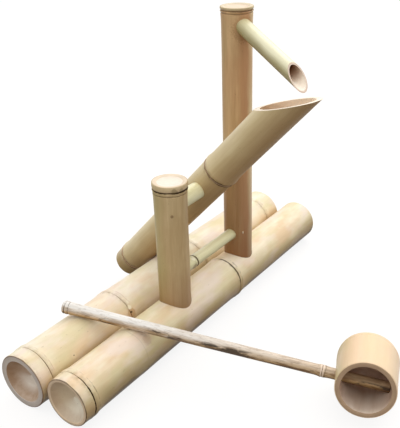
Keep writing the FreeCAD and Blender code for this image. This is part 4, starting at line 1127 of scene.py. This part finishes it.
class BUILD_OT_posts(bpy.types.Operator):
    """Build the short post and the tall post"""

    bl_idname = "shishi_odoshi.posts"
    bl_label = "Posts"

    def execute(self, context):
        self.culm = context.scene.shishi_odoshi.culm
        self.posts = context.scene.shishi_odoshi.posts
        self.rods = context.scene.shishi_odoshi.rods
        self.short_post()
        self.tall_post()
        return {"FINISHED"}

    def short_post(self):
        """The post at the near side of the rocking tube."""
        posts = self.posts
        radius = posts.short_radius
        foot = tone("8E6140")
        low, high = node_box("short_post")
        top = high.z - low.z - posts.short_collar
        marks = (
            (round_place(radius, 16, 14 * MM), 2.6 * MM, tone("4A3420"), 0.7),
            (round_place(radius + posts.flare, -38, top + 2.5 * MM), 4.5 * MM, tone("6E5A38"), 0.5),
            (round_place(radius + posts.flare, -15, top + 3.0 * MM), 3.0 * MM, tone("6E5A38"), 0.4),
        )
        look = dict(
            light=posts.short_light, dark=posts.short_dark, streak=0.4, patch=posts.short_dark, patch_share=0.3,
            tints=((posts.short_green, -150, 0.4, 0.85), (posts.short_dark, 30, 0.3, 0.5)), roughness=0.42,
            strokes=0.15, stain=2.5 * MM, polish=(-60, 0.1), marks=marks, bands=((foot, 15 * MM, 110 * MM, 0.8),),
            scar=tone("44321F"), top=tone("DCC6A0"), line=0.9 * MM,
        )
        tones = (tone("EDDBC2"), tone("A88460"), tone("EFE4D2"), tone("F6ECDE"))
        self.post("short_post", radius, 3.1, 1, [], (posts.short_collar, posts.short_groove), tones, look)

    def tall_post(self):
        """The post that carries the spout."""
        posts = self.posts
        rods = self.rods
        spout_axis = spout_place(rods).to_3x3() @ Vector((0, 0, 1))
        spout_at = rods.spout_height - post_place("tall_post").translation.z
        marks = ((round_place(posts.tall_radius, -30, spout_at - 10 * MM), 17 * MM, tone("8C6238"), 0.4),)
        spout_hole = [drill((0, 0, spout_at), spout_axis, rods.spout_radius + FIT, 50 * MM)]
        tints = (
            (posts.tall_blush, -26, 0.07, 0.85), (posts.tall_pale, 14, 0.07, 0.95), (posts.short_green, -140, 0.2, 0.3),
        )
        look = dict(
            light=posts.tall_light, dark=posts.tall_dark, streak=0.6, patch=posts.tall_blush, patch_share=0.4,
            tints=tints, roughness=0.4, streak_size=95.0, strokes=0.18, polish=(-60, 0.15), stain=2.5 * MM,
            bands=((tone("7C4A20"), 40 * MM, 210 * MM, 0.75),), scar=tone("8A6C50"), marks=marks,
            top=tone("C6BC98"), line=0.5 * MM,
        )
        tones = (tone("DCCDB2"), tone("9C8260"), tone("D6BEA8"), tone("E2CEB8"))
        scars = (posts.tall_collar, posts.tall_groove)
        self.post("tall_post", posts.tall_radius, 7.9, -1, spout_hole, scars, tones, look)

    def post(self, name, radius, seed, way, more_cutters, scars, tones, look):
        """A post on the front pole, with holes for the rods on the side that way tells.

        scars are how far its scar lies below its top and its groove below that. tones are two colours of its
        sawn rim and two of the wall in its top. look goes to its skin.
        """
        local = post_place(name)
        low, high = node_box(name)
        height = high.z - low.z
        bore = radius - self.posts.wall
        collar, groove = scars
        outline = post_outline(radius, height, self.posts, bore, collar, groove)
        piece = grown_culm(f"{name}_culm", outline, self.culm, seed, segments=96, waviness=0.25 * MM)
        cutters = list(more_cutters)
        for rod, rod_radius in (("pivot_axle", self.rods.axle_radius), ("cross_bar", self.rods.bar_radius)):
            rod_low, rod_high = node_box(rod)
            at = (rod_low.z + rod_high.z) / 2 - low.z
            cutters.append(drill((0, 0, at), (0, way, 0), rod_radius + FIT, 40 * MM))
        carved(piece, cutters)
        line = height - collar
        rings = (
            (line, look.pop("line"), 1.0, NO_RIDGE, 0), (line - groove + 0.9 * MM, 0.45 * MM, 0.75, NO_RIDGE, 180),
        )
        bands = (*look.pop("bands"), (look.pop("top"), line + 2 * MM, line, 0.6))
        skin = skin_finish(f"{name} skin", seed=seed, rings=rings, bands=bands, **look)
        outer = radius + self.posts.flare
        cut = cut_finish(f"{name} cut", tones[0], tones[1], outer, wall=4.5 * MM, edge_share=0.45)
        hollow = hollow_finish(f"{name} top wall", tones[2], tones[3], 0, height, stains=0.2)
        kinds = culm_kinds(lambda z: radius, ends=(height, 0.0))
        settle(piece, local, "base", [name], [skin, cut, hollow], kinds)


def rocker_place(rocker):
    """Place of the rocking tube: its axis runs from the axle up to its mouth."""
    return Matrix.Translation(joint_place("rocker_swing")) @ Matrix.Rotation(math.pi / 2 - rocker.tilt, 4, "Y")


class BUILD_OT_rocking_tube(bpy.types.Operator):
    """Build the tube that fills, tips and knocks"""

    bl_idname = "shishi_odoshi.rocking_tube"
    bl_label = "Rocking tube"

    def execute(self, context):
        culm = context.scene.shishi_odoshi.culm
        rocker = context.scene.shishi_odoshi.rocker

        def radius_at(z):
            return rocker.radius + rocker.taper * z

        def bore_at(z):
            return radius_at(z) - rocker.wall

        heel = -rocker.heel
        lip = rocker.mouth_lower + 4 * MM
        nodes = (rocker.cup_node, -rocker.heel_node)
        shape = [(at, 1) for at in nodes]
        outline = culm_outside(lip, radius_at, shape, culm.node_swell, culm.scar_depth, start=heel + 0.6 * MM)
        outline.insert(0, (radius_at(heel) - 0.5 * MM, heel))
        outline += inside_of(heel, lip, bore_at, nodes, NODE_WALL)
        outline += [outline[0]]
        piece = grown_culm("rocking_tube", outline, culm, 11.4)
        self.overhang(piece, rocker.cup_node)
        rim = radius_at(rocker.mouth_lower)
        cutters = [slanted_saw((1, 0, 0), rocker.mouth_upper, rocker.mouth_lower, rim)]
        cutters.append(drill((0, -40 * MM, 0), (0, 1, 0), rocker.axle_hole, 80 * MM))
        carved(piece, cutters)
        rings = ((nodes[0], 1.5 * MM, 1.0, NO_RIDGE, -20), (nodes[1], 1.3 * MM, 1.0, NO_RIDGE, -20))
        skin = skin_finish(
            "Rocking tube skin", rocker.light, rocker.dark, 6.3, culm.scar, rings=rings, patch=rocker.under,
            # Brown on the lower side is painted shade; the pale tint on the upper side is a painted highlight.
            patch_share=0.12, tints=((rocker.under, -5, 0.62, 0.7), (tone("EBDBB4"), 185, 0.35, 0.8)),
            roughness=0.42, streak=0.25, strokes=0.08, polish=(185, 0.5), gloss=0.05,
            bands=((tone("967742"), heel + 12 * MM, heel + 24 * MM, 0.5),),
        )
        cut = cut_finish("Rocking tube rim", rocker.rim, tone("D9B48C"), rim + 1 * MM, wall=4.8 * MM, edge_share=0.25)
        # The hollow is painted shade: brown deep in and paler towards the mouth.
        hollow = hollow_finish("Rocking tube hollow", tone("D8B490"), tone("F6E2CA"), 40 * MM, 150 * MM, stains=0.2)
        slope = (rocker.mouth_lower - rocker.mouth_upper) / (2 * rim)
        plane = Vector((-slope, 0, 1)).normalized()
        kinds = culm_kinds(radius_at, ends=(heel,), slope=plane)
        settle(piece, rocker_place(rocker), "rocker", ["rocker_tube"], [skin, cut, hollow], kinds)
        return {"FINISHED"}

    def overhang(self, piece, node):
        """Let the chamber's side of the node stand out over the other like a lip, most on its lower side."""
        inside = 22 * MM
        reach = 26 * MM
        for vert in piece.data.vertices:
            radius = math.hypot(vert.co.x, vert.co.y)
            past = vert.co.z - node
            if radius < inside or not 0 < past < reach:
                continue
            lower = 0.65 + 0.35 * vert.co.x / radius
            rise = 0.8 * MM * lower * (1 - past / reach) ** 1.5
            vert.co.x *= 1 + rise / radius
            vert.co.y *= 1 + rise / radius


def spout_place(rods):
    """Place of the spout: its axis runs from the tall post's axis down to its lip."""
    at = post_place("tall_post").translation
    lean = Matrix.Rotation(math.pi / 2 + rods.spout_drop, 4, "X")
    return Matrix.Translation((at.x, at.y, rods.spout_height)) @ Matrix.Rotation(rods.spout_turn, 4, "Z") @ lean


class BUILD_OT_rods(bpy.types.Operator):
    """Build the axle, the cross bar and the spout"""

    bl_idname = "shishi_odoshi.rods"
    bl_label = "Axle, cross bar and spout"

    def execute(self, context):
        self.culm = context.scene.shishi_odoshi.culm
        self.rods = context.scene.shishi_odoshi.rods
        rods = self.rods
        shades = (rods.axle_light, rods.axle_dark)
        # Painted shade on the axle's lower side.
        tints = ((tone("B4AC78"), 60, 0.4, 0.5),)
        self.rod("pivot_axle", "axle_rod", rods.axle_radius, 3.6 * MM, [], 2.2, shades, tints)
        shades = (rods.light, rods.dark)
        # Painted shade on the cross bar's lower side.
        tints = ((tone("9C8A5A"), 60, 0.4, 0.6),)
        marks = (
            (round_place(rods.bar_radius, 25, rods.bar_node - 7 * MM), 6 * MM, tone("7A5C34"), 0.6),
            # A painted highlight on the upper side of the node's swelling.
            (round_place(rods.bar_radius, -60, rods.bar_node - 6 * MM), 3.5 * MM, tone("F6EED6"), 0.7),
        )
        self.rod("cross_bar", "low_bar", rods.bar_radius, 2.6 * MM, [rods.bar_node], 8.8, shades, tints, marks)
        self.spout()
        return {"FINISHED"}

    def rod(self, node, name, radius, wall, nodes, seed, shades, tints, marks=()):
        """A thin level culm between the posts. shades are its main colour and its streaks."""
        low, high = node_box(node)
        end = high.y - low.y
        shaped = [(at, -1) for at in nodes]
        outline = culm_outside(end, lambda z: radius, shaped, self.rods.node_swell)
        outline += inside_of(0, end, lambda z: radius - wall, nodes, 3 * MM)
        outline += [outline[0]]
        piece = grown_culm(name, outline, self.culm, seed, segments=64, waviness=0.12 * MM, out_of_round=0.0)
        rings = [(at, 1.0 * MM, 0.9, -6.0 * MM, 0) for at in nodes]
        skin = skin_finish(
            f"{name} skin", *shades, seed, tone("5A4324"), rings=rings, roughness=0.32, streak=0.6, specks=0.25,
            strokes=0.12, gloss=0.35, polish=(-90, 0.5), tints=tints, marks=marks,
        )
        cut = cut_finish(f"{name} cut", self.rods.rim, self.culm.cut_dark, radius)
        kinds = culm_kinds(lambda z: radius, ends=(0.0, end))
        settle(piece, pole_place(node), "base", [node], [skin, cut, cut], kinds)

    def spout(self):
        """The pipe that fills the rocking tube: closed behind, and fed through a hole from below."""
        rods = self.rods
        radius = rods.spout_radius
        bore = radius - rods.spout_wall
        tail = -rods.spout_tail
        lip = rods.spout_lower + 3 * MM
        outline = culm_outside(lip, lambda z: radius, [], 0.0, start=tail)
        thinned = radius - 1.7 * MM
        closed = tail + 2.6 * MM
        outline += [(thinned, lip), (thinned, 140 * MM), (bore, 110 * MM), (bore, tail + 4 * MM)]
        outline += [(bore - 1.5 * MM, closed), (0, closed), (0, tail), outline[0]]
        piece = grown_culm("spout_culm", outline, self.culm, 4.4, segments=72, waviness=0.2 * MM)
        local = spout_place(rods)
        down = local.to_3x3().inverted() @ Vector((0, 0, -1))
        cutters = [slanted_saw((0, -1, 0), rods.spout_upper, rods.spout_lower, radius)]
        supply_hole = 6.2 * MM
        cutters.append(drill((0, 0, 0), down, supply_hole, 20 * MM, 40))
        carved(piece, cutters)
        skin = skin_finish(
            "Spout skin", rods.light, rods.dark, 5.0, tone("7A6338"), roughness=0.32, streak=0.4, specks=0.25,
            strokes=0.1, gloss=0.25, polish=(90, 0.5), bands=((tone("BCB078"), 22 * MM, 75 * MM, 0.55),),
            # The pale tint on the upper side is a painted highlight; the olive tint on the lower side is painted shade.
            tints=((tone("F4F0D4"), 105, 0.3, 0.6), (tone("8C7C42"), -140, 0.5, 0.95)),
        )
        cut = cut_finish("Spout rim", rods.rim, tone("A07A5A"), radius, wall=2 * MM, edge_share=0.3)
        # The hollow is painted shade: brown deep in and pale near the lip.
        hollow = hollow_finish("Spout hollow", tone("A86C2C"), tone("FFF4E4"), 134 * MM, 166 * MM, stains=0.3)
        slope = (rods.spout_lower - rods.spout_upper) / (2 * radius)
        plane = Vector((0, slope, 1)).normalized()
        kinds = culm_kinds(lambda z: radius, slope=plane)
        settle(piece, local, "base", ["spout"], [skin, cut, hollow], kinds)


def cup_place(ladle):
    """Place of the cup: its axis starts at its back, which touches three sides of its box in the frame."""
    turn = Matrix.Rotation(ladle.cup_turn, 4, "Z") @ Matrix.Rotation(math.pi / 2 - ladle.cup_rise, 4, "X")
    low, high = node_box("ladle_cup")
    across, along, up = square_reach(turn.to_3x3() @ Vector((0, 0, 1)))
    back = ladle.back_radius
    start = (low.x + back * across, high.y - back * along, low.z + back * up)
    return Matrix.Translation(start) @ turn


def handle_place(ladle):
    """Place of the handle: its axis starts at its free end, found in the same way."""
    turn = Matrix.Rotation(ladle.handle_turn, 4, "Z") @ Matrix.Rotation(math.pi / 2 + ladle.handle_fall, 4, "Y")
    low, high = node_box("ladle_handle")
    across, along, up = square_reach(turn.to_3x3() @ Vector((0, 0, 1)))
    end = ladle.handle_end
    start = (low.x + end * across, low.y + end * along, high.z - end * up)
    return Matrix.Translation(start) @ turn


class BUILD_OT_ladle_cup(bpy.types.Operator):
    """Build the ladle's cup"""

    bl_idname = "shishi_odoshi.ladle_cup"
    bl_label = "Ladle cup"

    def execute(self, context):
        culm = context.scene.shishi_odoshi.culm
        ladle = context.scene.shishi_odoshi.ladle
        back = ladle.back_radius
        mouth = ladle.mouth_radius
        end = ladle.cup_length
        taper = (mouth - back) / end

        def radius_at(z):
            return back + taper * z

        outline = culm_outside(end - 1.2 * MM, radius_at, [(8 * MM, 1)], 0.3 * MM, start=1.2 * MM)
        outline.insert(0, (back - 0.4 * MM, 0.3 * MM))
        outline.insert(0, (back - 1.2 * MM, 0))
        bore = mouth - ladle.wall
        wide = back - ladle.wall
        floor = ladle.cup_floor
        outline += [(mouth - 0.35 * MM, end - 0.3 * MM), (mouth - 1.1 * MM, end)]
        outline += [(bore + 0.9 * MM, end), (bore + 0.2 * MM, end - 0.4 * MM), (bore, end - 1.2 * MM)]
        steps = 8
        for i in range(1, steps):
            at = (end - 1.2 * MM) + (floor + 5 * MM - end + 1.2 * MM) * i / steps
            outline.append((bore + (wide - bore) * (1 - at / end), at))
        outline += [(wide - 0.3 * MM, floor + 4 * MM), (wide - 1.5 * MM, floor + 1.4 * MM), (wide - 4 * MM, floor)]
        outline += [(wide * 0.5, floor - 0.4 * MM), (0, floor - 0.5 * MM), (0, floor - 3.5 * MM)]
        outline += [(back * 0.45, floor * 0.62), (back * 0.7, floor * 0.5), (wide - 1 * MM, 1.2 * MM), (wide, 0)]
        outline += [outline[0]]
        piece = grown_culm("ladle_cup_culm", outline, culm, 3.3, waviness=0.3 * MM)
        local = cup_place(ladle)
        handle = handle_place(ladle)
        run = handle.to_3x3() @ Vector((0, 0, 1))
        into = local.inverted()
        half_way = 36 * MM
        middle = into @ (handle @ Vector((0, 0, ladle.handle_outside + half_way)))
        outward = into.to_3x3() @ -run
        hole = ladle.handle_slim + FIT
        socket = ladle.handle_inside - half_way + 0.3 * MM
        carved(piece, [drill(middle, outward, hole, 60 * MM), drill(middle, -outward, hole, socket)])
        skin = skin_finish(
            "Ladle cup skin", ladle.light, ladle.dark, 7.0, culm.scar, patch=ladle.blush, patch_share=0.4,
            streak=0.2, roughness=0.38, specks=0.1, strokes=0.06, polish=(90, 0.15),
            tints=((tone("CABC8C"), 172, 0.22, 0.75), (tone("DEBFA0"), 12, 0.16, 0.5)),
        )
        cut = cut_finish("Ladle cup rim", tone("BA9C7E"), tone("76583F"), mouth, wall=6.6 * MM, edge_share=0.55)
        # Brown towards the floor and on the upper wall is painted shade; pale on the lower wall is painted light.
        hollow = hollow_finish(
            "Ladle cup inside", ladle.inside, tone("F6E6D4"), -30 * MM, 50 * MM, painted_lit_side=-85, roughness=0.6
        )
        kinds = culm_kinds(radius_at, ends=(0.0, end))
        settle(piece, local, "ladle", ["ladle_cup"], [skin, cut, hollow], kinds)
        return {"FINISHED"}


class BUILD_OT_ladle_handle(bpy.types.Operator):
    """Build the ladle's cane handle"""

    bl_idname = "shishi_odoshi.ladle_handle"
    bl_label = "Ladle handle"

    def execute(self, context):
        culm = context.scene.shishi_odoshi.culm
        ladle = context.scene.shishi_odoshi.ladle
        cup = ladle.handle_outside
        tip = cup + ladle.handle_inside
        end = ladle.handle_end
        slim = ladle.handle_slim
        middle = ladle.handle_middle
        outline = [
            (0, 0.3 * MM), (end * 0.5, 0.1 * MM), (end - 1.8 * MM, 0), (end - 0.7 * MM, 0.7 * MM),
            (end - 0.2 * MM, 1.8 * MM), (end, 2.9 * MM), (end - 0.3 * MM, 3.4 * MM), (end - 1.0 * MM, 3.9 * MM),
            (end - 0.2 * MM, 4.5 * MM), (end + 0.1 * MM, 5.6 * MM), (end, 8.0 * MM), (end - 0.3 * MM, 8.7 * MM),
            (end - 0.9 * MM, 9.3 * MM), (end - 0.3 * MM, 10.0 * MM), (end - 0.3 * MM, 12 * MM),
            (middle + 0.7 * MM, 20 * MM),
        ]
        steps = 34
        for i in range(1, steps):
            at = 20 * MM + (cup - 46 * MM) * i / steps
            part = at / cup
            outline.append((middle + (slim - middle) * max(0.0, (part - 0.45) / 0.5) + 0.5 * MM * (1 - part) ** 3, at))
        outline += [
            (slim, cup - 25 * MM), (slim + 0.4 * MM, cup - 21 * MM), (slim + 1.1 * MM, cup - 18 * MM),
            (slim + 1.0 * MM, cup - 17.2 * MM), (slim + 0.2 * MM, cup - 16.6 * MM), (slim + 0.8 * MM, cup - 15.8 * MM),
            (slim + 0.85 * MM, cup - 14.5 * MM), (slim + 0.2 * MM, cup - 10 * MM), (slim, cup - 6 * MM),
        ]
        steps = 8
        outline += [(slim, cup - 6 * MM + (tip - 1 * MM - cup + 6 * MM) * i / steps) for i in range(1, steps + 1)]
        outline += [(slim - 0.8 * MM, tip), (0, tip)]
        piece = grown_culm("ladle_cane", outline, culm, 6.6, segments=48, waviness=0.22 * MM, out_of_round=0.01)
        dark_ring = tone("4E3A26")
        pale_ring = tone("EDD8C4")
        rings = (
            (3.9 * MM, 0.4 * MM, 0.8, dark_ring), (9.3 * MM, 0.4 * MM, 0.8, dark_ring),
            (cup - 17.8 * MM, 0.9 * MM, 0.85, pale_ring), (cup - 16.6 * MM, 0.3 * MM, 0.5, dark_ring),
            (cup - 15.0 * MM, 0.8 * MM, 0.85, pale_ring), (cup - 12.5 * MM, 0.35 * MM, 0.5, dark_ring),
        )
        skin = cane_finish("Ladle cane", ladle, rings, cup)
        cut = cut_finish("Ladle cane end", tone("C9B99E"), tone("7C6650"), end, wall=4 * MM)

        def kind_of(centre, normal):
            return CUT if abs(normal.z) > 0.8 and (centre.z < 0.8 * MM or centre.z > tip - 0.5 * MM) else SKIN

        settle(piece, handle_place(ladle), "ladle", ["ladle_handle"], [skin, cut], kind_of)
        return {"FINISHED"}


class BUILD_OT_small_parts(bpy.types.Operator):
    """Finish the nails, screws, plugs, bung, water tube and hose tail, which the frame shapes"""

    bl_idname = "shishi_odoshi.small_parts"
    bl_label = "Nails, screws and water parts"

    def execute(self, context):
        small = context.scene.shishi_odoshi.small

        def darker(shade, by):
            return [part * by for part in shade]

        nail = plain_finish("Nail steel", small.nail, darker(small.nail, 0.5), 0.5, metallic=0.8, scale=900)
        browned = plain_finish("Browned nail", small.small_nail, darker(small.small_nail, 0.7), 0.7, scale=900)
        pale = plain_finish("Dusted nail", small.pale_nail, darker(small.pale_nail, 0.7), 0.7, scale=900)
        screw = plain_finish("Screw steel", small.screw, darker(small.screw, 0.8), 0.35, metallic=1.0, scale=700)
        grain = (1, 1, 0.08)
        wood = darker(small.softwood, 0.7)
        plug = plain_finish("Plug softwood", small.softwood, wood, 0.75, scale=350, stretch=grain)
        wood = darker(small.softwood, 0.84)
        bung = plain_finish("Bung softwood", small.softwood, wood, 0.75, scale=350, stretch=(1, 0.1, 1))
        tube = plain_finish("Clear hose", small.tube, darker(small.tube, 0.9), 0.3, scale=60)
        tail = plain_finish("Black plastic", small.tail, darker(small.tail, 0.6), 0.45, scale=500)
        finishes = {
            "pole_nails": nail, "axle_nail": browned, "crossbar_nail": pale, "foot_screws": screw,
            "short_foot_plug": plug, "tall_foot_plug": plug, "end_bung": bung, "supply_tube": tube, "hose_tail": tail,
        }
        for name, material in finishes.items():
            slots = frame["nodes"][name].data.materials
            if not slots:
                slots.append(material)
            for index in range(len(slots)):
                slots[index] = material
        return {"FINISHED"}


def floor_finish():
    """Pale floor that the camera sees near white, with the object's soft shadow left on it."""
    material = bpy.data.materials.new("Floor")
    material.use_nodes = True
    tree = material.node_tree
    g = Graph(tree)
    tree.nodes.clear()
    rays = g.node("ShaderNodeLightPath").outputs
    through = g.math("MAXIMUM", rays["Is Glossy Ray"], rays["Is Transmission Ray"])
    seen = g.math("MAXIMUM", rays["Is Camera Ray"], through)
    body = g.node("ShaderNodeBsdfDiffuse", {"Color": (0.16, 0.15, 0.14, 1)})
    glow = g.node("ShaderNodeEmission", {"Color": (1, 1, 1, 1), "Strength": g.math("MULTIPLY", seen, 0.86)})
    both = g.node("ShaderNodeAddShader")
    g.feed(both.inputs[0], body.outputs[0])
    g.feed(both.inputs[1], glow.outputs[0])
    g.node("ShaderNodeOutputMaterial", {"Surface": both.outputs[0]})
    return material


class BUILD_OT_stage(bpy.types.Operator):
    """Set the floor, the lights and the camera"""

    bl_idname = "shishi_odoshi.stage"
    bl_label = "Floor, lights and camera"

    def execute(self, context):
        stage = context.scene.shishi_odoshi.stage
        self.floor()
        self.sky(context, stage)
        self.overhead_light(stage.key)
        self.camera(context, stage)
        context.scene.view_settings.view_transform = "Standard"
        return {"FINISHED"}

    def floor(self):
        """A level floor that reaches past the camera's view."""
        work = bmesh.new()
        bmesh.ops.create_grid(work, x_segments=8, y_segments=8, size=6.0)
        mesh = bpy.data.meshes.new("floor")
        work.to_mesh(mesh)
        work.free()
        mesh.materials.append(floor_finish())
        linked("floor", mesh)

    def sky(self, context, stage):
        """Even light, brighter from above, that the camera sees as white."""
        world = bpy.data.worlds.new("Sky")
        context.scene.world = world
        world.use_nodes = True
        g = Graph(world.node_tree)
        world.node_tree.nodes.clear()
        rays = g.node("ShaderNodeLightPath").outputs
        through = g.math("MAXIMUM", rays["Is Glossy Ray"], rays["Is Transmission Ray"])
        seen = g.math("MAXIMUM", rays["Is Camera Ray"], through)
        direction = g.node("ShaderNodeTexCoord").outputs["Generated"]
        height = g.node("ShaderNodeSeparateXYZ", {0: direction}).outputs[2]
        even = g.remap(height, 0.0, 1.0, stage.horizon, stage.zenith)
        level = g.math("MAXIMUM", even, seen)
        background = g.node("ShaderNodeBackground", {"Color": (1, 1, 1, 1), "Strength": level})
        g.node("ShaderNodeOutputWorld", {"Surface": background.outputs[0]})

    def overhead_light(self, power):
        """A broad soft light above and behind, turned towards the object."""
        place = Vector((0.0, 1.05, 1.45))
        target = Vector((-0.05, 0.0, 0.1))
        light = bpy.data.lights.new("Overhead light", "AREA")
        light.shape = "RECTANGLE"
        light.size, light.size_y = 1.8, 1.1
        light.energy = power
        lamp = linked("Overhead light", light)
        lamp.location = place
        lamp.rotation_euler = (target - place).to_track_quat("-Z", "Y").to_euler()

    def camera(self, context, stage):
        """The camera at the viewing angle of the picture."""
        ahead = Vector((
            math.sin(stage.yaw) * math.cos(stage.pitch),
            math.cos(stage.yaw) * math.cos(stage.pitch),
            -math.sin(stage.pitch),
        ))
        right = Vector((math.cos(stage.yaw), -math.sin(stage.yaw), 0))
        up = right.cross(ahead)
        rolled = right * math.cos(stage.roll) + up * math.sin(stage.roll)
        upward = up * math.cos(stage.roll) - right * math.sin(stage.roll)
        turn = Matrix((rolled, upward, -ahead)).transposed()
        sensor = 36.0
        data = bpy.data.cameras.new("Camera")
        data.sensor_fit = "HORIZONTAL"
        data.sensor_width = sensor
        data.lens = sensor * stage.focal
        camera = linked("Camera", data)
        place = Matrix.Translation((stage.camera_x, stage.camera_y, stage.camera_z))
        camera.matrix_world = place @ turn.to_4x4()
        context.scene.camera = camera


class VIEW3D_PT_shishi_odoshi(bpy.types.Panel):
    """The pieces in the order in which they are built"""

    bl_label = "Shishi Odoshi"
    bl_idname = "VIEW3D_PT_shishi_odoshi"
    bl_space_type = "VIEW_3D"
    bl_region_type = "UI"
    bl_category = "Shishi Odoshi"

    def draw(self, context):
        for operator in OPERATORS:
            self.layout.operator(operator.bl_idname)
        for group in ("culm", "base", "posts", "rocker", "rods", "ladle", "small", "stage"):
            settings = getattr(context.scene.shishi_odoshi, group)
            box = self.layout.box()
            box.label(text=group.capitalize())
            for name in settings.__annotations__:
                box.prop(settings, name)


SETTINGS = (
    CulmSettings, BaseSettings, PostSettings, RockingTubeSettings, RodSettings, LadleSettings, SmallPartSettings,
    StageSettings, ShishiOdoshiSettings,
)
OPERATORS = (
    BUILD_OT_base_poles, BUILD_OT_posts, BUILD_OT_rocking_tube, BUILD_OT_rods, BUILD_OT_ladle_cup,
    BUILD_OT_ladle_handle, BUILD_OT_small_parts, BUILD_OT_stage,
)


def register():
    for kind in SETTINGS + OPERATORS + (VIEW3D_PT_shishi_odoshi,):
        bpy.utils.register_class(kind)
    bpy.types.Scene.shishi_odoshi = PointerProperty(type=ShishiOdoshiSettings)


def unregister():
    del bpy.types.Scene.shishi_odoshi
    for kind in reversed(SETTINGS + OPERATORS + (VIEW3D_PT_shishi_odoshi,)):
        bpy.utils.unregister_class(kind)


def main():
    """Register and build every piece."""
    register()
    for operator in OPERATORS:
        family, name = operator.bl_idname.split(".")
        getattr(getattr(bpy.ops, family), name)()


if __name__ == "__main__":
    main()
